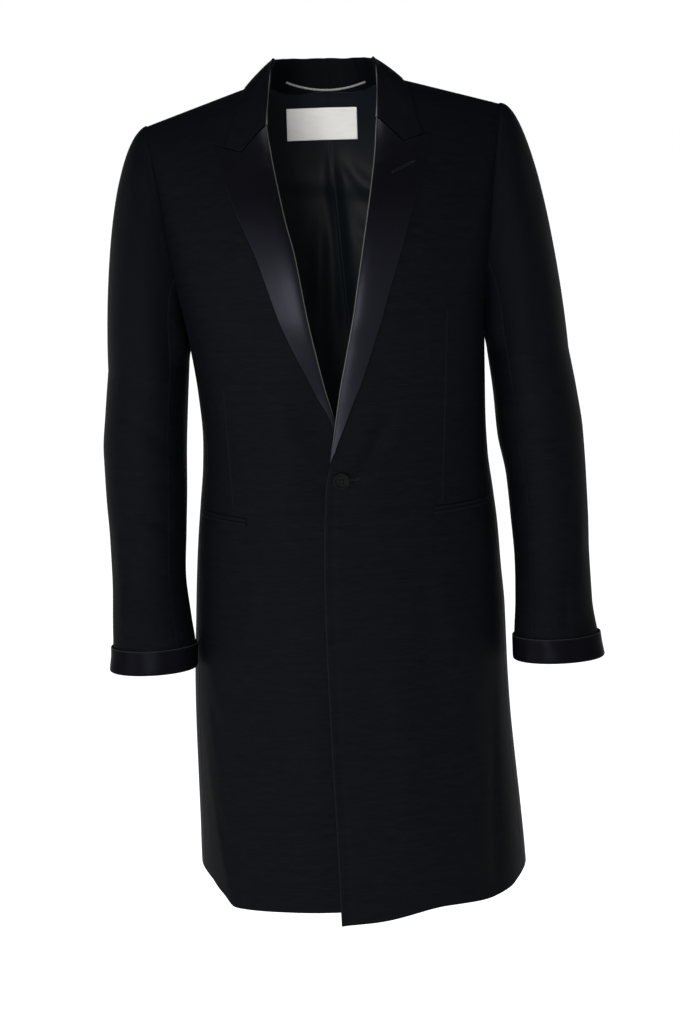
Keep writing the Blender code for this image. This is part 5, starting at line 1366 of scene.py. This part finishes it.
def button():
    """Button: the outline turned round the front's own direction, with four holes cut through it."""
    seat, normal = on_left_front(np.array(BUTTON_AT[0]), np.array(BUTTON_AT[1]))
    across = unit(np.cross(np.array([0.0, 0.0, 1.0]), normal))
    up = np.cross(normal, across)
    middle = seat + normal * BUTTON_GAP

    def turned(radius, height, sides, at=middle):
        turn = np.linspace(0, 2 * np.pi, sides, endpoint=False)[None, :, None]
        ring = across * np.cos(turn) + up * np.sin(turn)
        return at + np.asarray(height)[:, None, None] * normal + np.asarray(radius)[:, None, None] * ring

    def lathe(name, rings):
        rows, sides = rings.shape[:2]
        index = np.arange(rows * sides).reshape(rows, sides)
        ends = [index[0][::-1].tolist(), index[-1].tolist()]
        index = np.concatenate([index, index[:, :1]], axis=1)
        mesh = bpy.data.meshes.new(name)
        mesh.from_pydata(rings.reshape(-1, 3), [], cells(index).tolist() + ends)
        mesh.shade_smooth()
        mesh.set_sharp_from_angle(angle=np.radians(40))
        mesh.materials.append(HORN)
        return link_mesh(name, mesh)

    disc = lathe("horn_button", turned(*np.array(BUTTON_PROFILE).T, BUTTON_SIDES))
    spots, drills = [], []
    for k in range(4):
        angle = np.pi / 4 + k * np.pi / 2
        at = middle + HOLE_OFF * np.sqrt(2) * (across * np.cos(angle) + up * np.sin(angle))
        spots.append(at)
        drill = lathe(f"drill_{k}", turned([HOLE_RADIUS] * 2, [DRILL_FROM, DRILL_TO], 20, at))
        cut = disc.modifiers.new(f"hole_{k}", "BOOLEAN")
        cut.operation = "DIFFERENCE"
        cut.object = drill
        drills.append(drill)
    drilled = bpy.data.meshes.new_from_object(disc.evaluated_get(bpy.context.evaluated_depsgraph_get()))
    disc.modifiers.clear()
    disc.data = drilled
    for drill in drills:
        bpy.data.objects.remove(drill, do_unlink=True)
    attach(disc, "button")

    # Thread: two strands crossed over the dished middle, down into opposite holes
    s = np.linspace(0, 1, 40)[:, None]
    for k, name in enumerate(("button_thread_a", "button_thread_b")):
        rise = CROSS_LOW + (CROSS_RISE + k * CROSS_OVER) * np.sin(np.pi * s) ** 0.5
        path = spots[k] + (spots[k + 2] - spots[k]) * s + normal * rise
        ahead = unit(np.gradient(path, axis=0))
        beside = unit(np.cross(ahead, normal))
        faces = strand(path, beside, np.cross(ahead, beside), CROSS_RADIUS, THREAD_SIDES, THREAD_CORE)
        attach(cloth_wall(name, *faces, THREAD, around=True))


button()


# Floor and light: a plain pale floor below the coat, and soft panel lights at the left of the picture, in front, at
# the right and overhead.
FLOOR_Z = -1.42
FLOOR_REACH = 60.0
floor_mesh = bpy.data.meshes.new("floor")
floor_corners = [(x * FLOOR_REACH, y * FLOOR_REACH, FLOOR_Z) for x, y in ((-1, -1), (1, -1), (1, 1), (-1, 1))]
floor_mesh.from_pydata(floor_corners, [], [(0, 1, 2, 3)])
floor_mesh.materials.append(finish_of("pale floor", (0.90, 0.90, 0.90), 0.9, Specular_IOR_Level=0.0,
                                      Emission_Color=(1.0, 1.0, 1.0, 1.0), Emission_Strength=1.0)[0])
floor = link_mesh("floor", floor_mesh)

bpy.context.scene.view_settings.view_transform = "Standard"
# The studio is white up to a little above the horizon and dim overhead: sines of the two heights, and the strengths
WHITE_TO, DIM_FROM = 0.10, 0.42
WHITE, DIM = 1.0, 0.03
world = bpy.data.worlds.new("studio")
world.use_nodes = True
direction = add_node(world.node_tree, "ShaderNodeTexCoord")
split = add_node(world.node_tree, "ShaderNodeSeparateXYZ", {"Vector": direction.outputs["Generated"]})
strength = add_node(world.node_tree, "ShaderNodeMapRange", {
    "Value": split.outputs["Z"], "From Min": WHITE_TO, "From Max": DIM_FROM, "To Min": WHITE, "To Max": DIM})
strength.interpolation_type = "SMOOTHSTEP"
world.node_tree.nodes["Background"].inputs["Color"].default_value = (1.0, 1.0, 1.0, 1.0)
world.node_tree.links.new(strength.outputs["Result"], world.node_tree.nodes["Background"].inputs["Strength"])
bpy.context.scene.world = world
# Name, place, what it looks at, width and height, and power of each light
LIGHTS = (
    ("side", (-2.5, -2.2, -0.35), (0.0, 0.0, -0.45), 2.0, 1.5, 46.0),
    ("front", (-0.65, -3.00, -0.55), (0.0, 0.0, -0.30), 1.0, 0.9, 55.0),
    ("far side", (1.9, -2.2, -0.60), (0.0, 0.0, -0.45), 0.9, 0.9, 3.0),
    ("overhead", (0.0, -0.9, 2.1), (0.0, 0.0, 0.0), 1.0, 1.0, 30.0),
)
for name, at, to, wide, high, power in LIGHTS:
    light = bpy.data.lights.new(name, "AREA")
    light.shape = "RECTANGLE"
    light.size = wide
    light.size_y = high
    light.energy = power
    lamp = bpy.data.objects.new(name, light)
    aim = unit(np.array(to) - np.array(at))
    side_way = unit(np.cross(aim, np.array([0.0, 0.0, 1.0])))
    turned = Matrix(np.stack([side_way, np.cross(side_way, aim), -aim], axis=1).tolist()).to_4x4()
    lamp.matrix_world = Matrix.Translation(at) @ turned
    bpy.context.collection.objects.link(lamp)
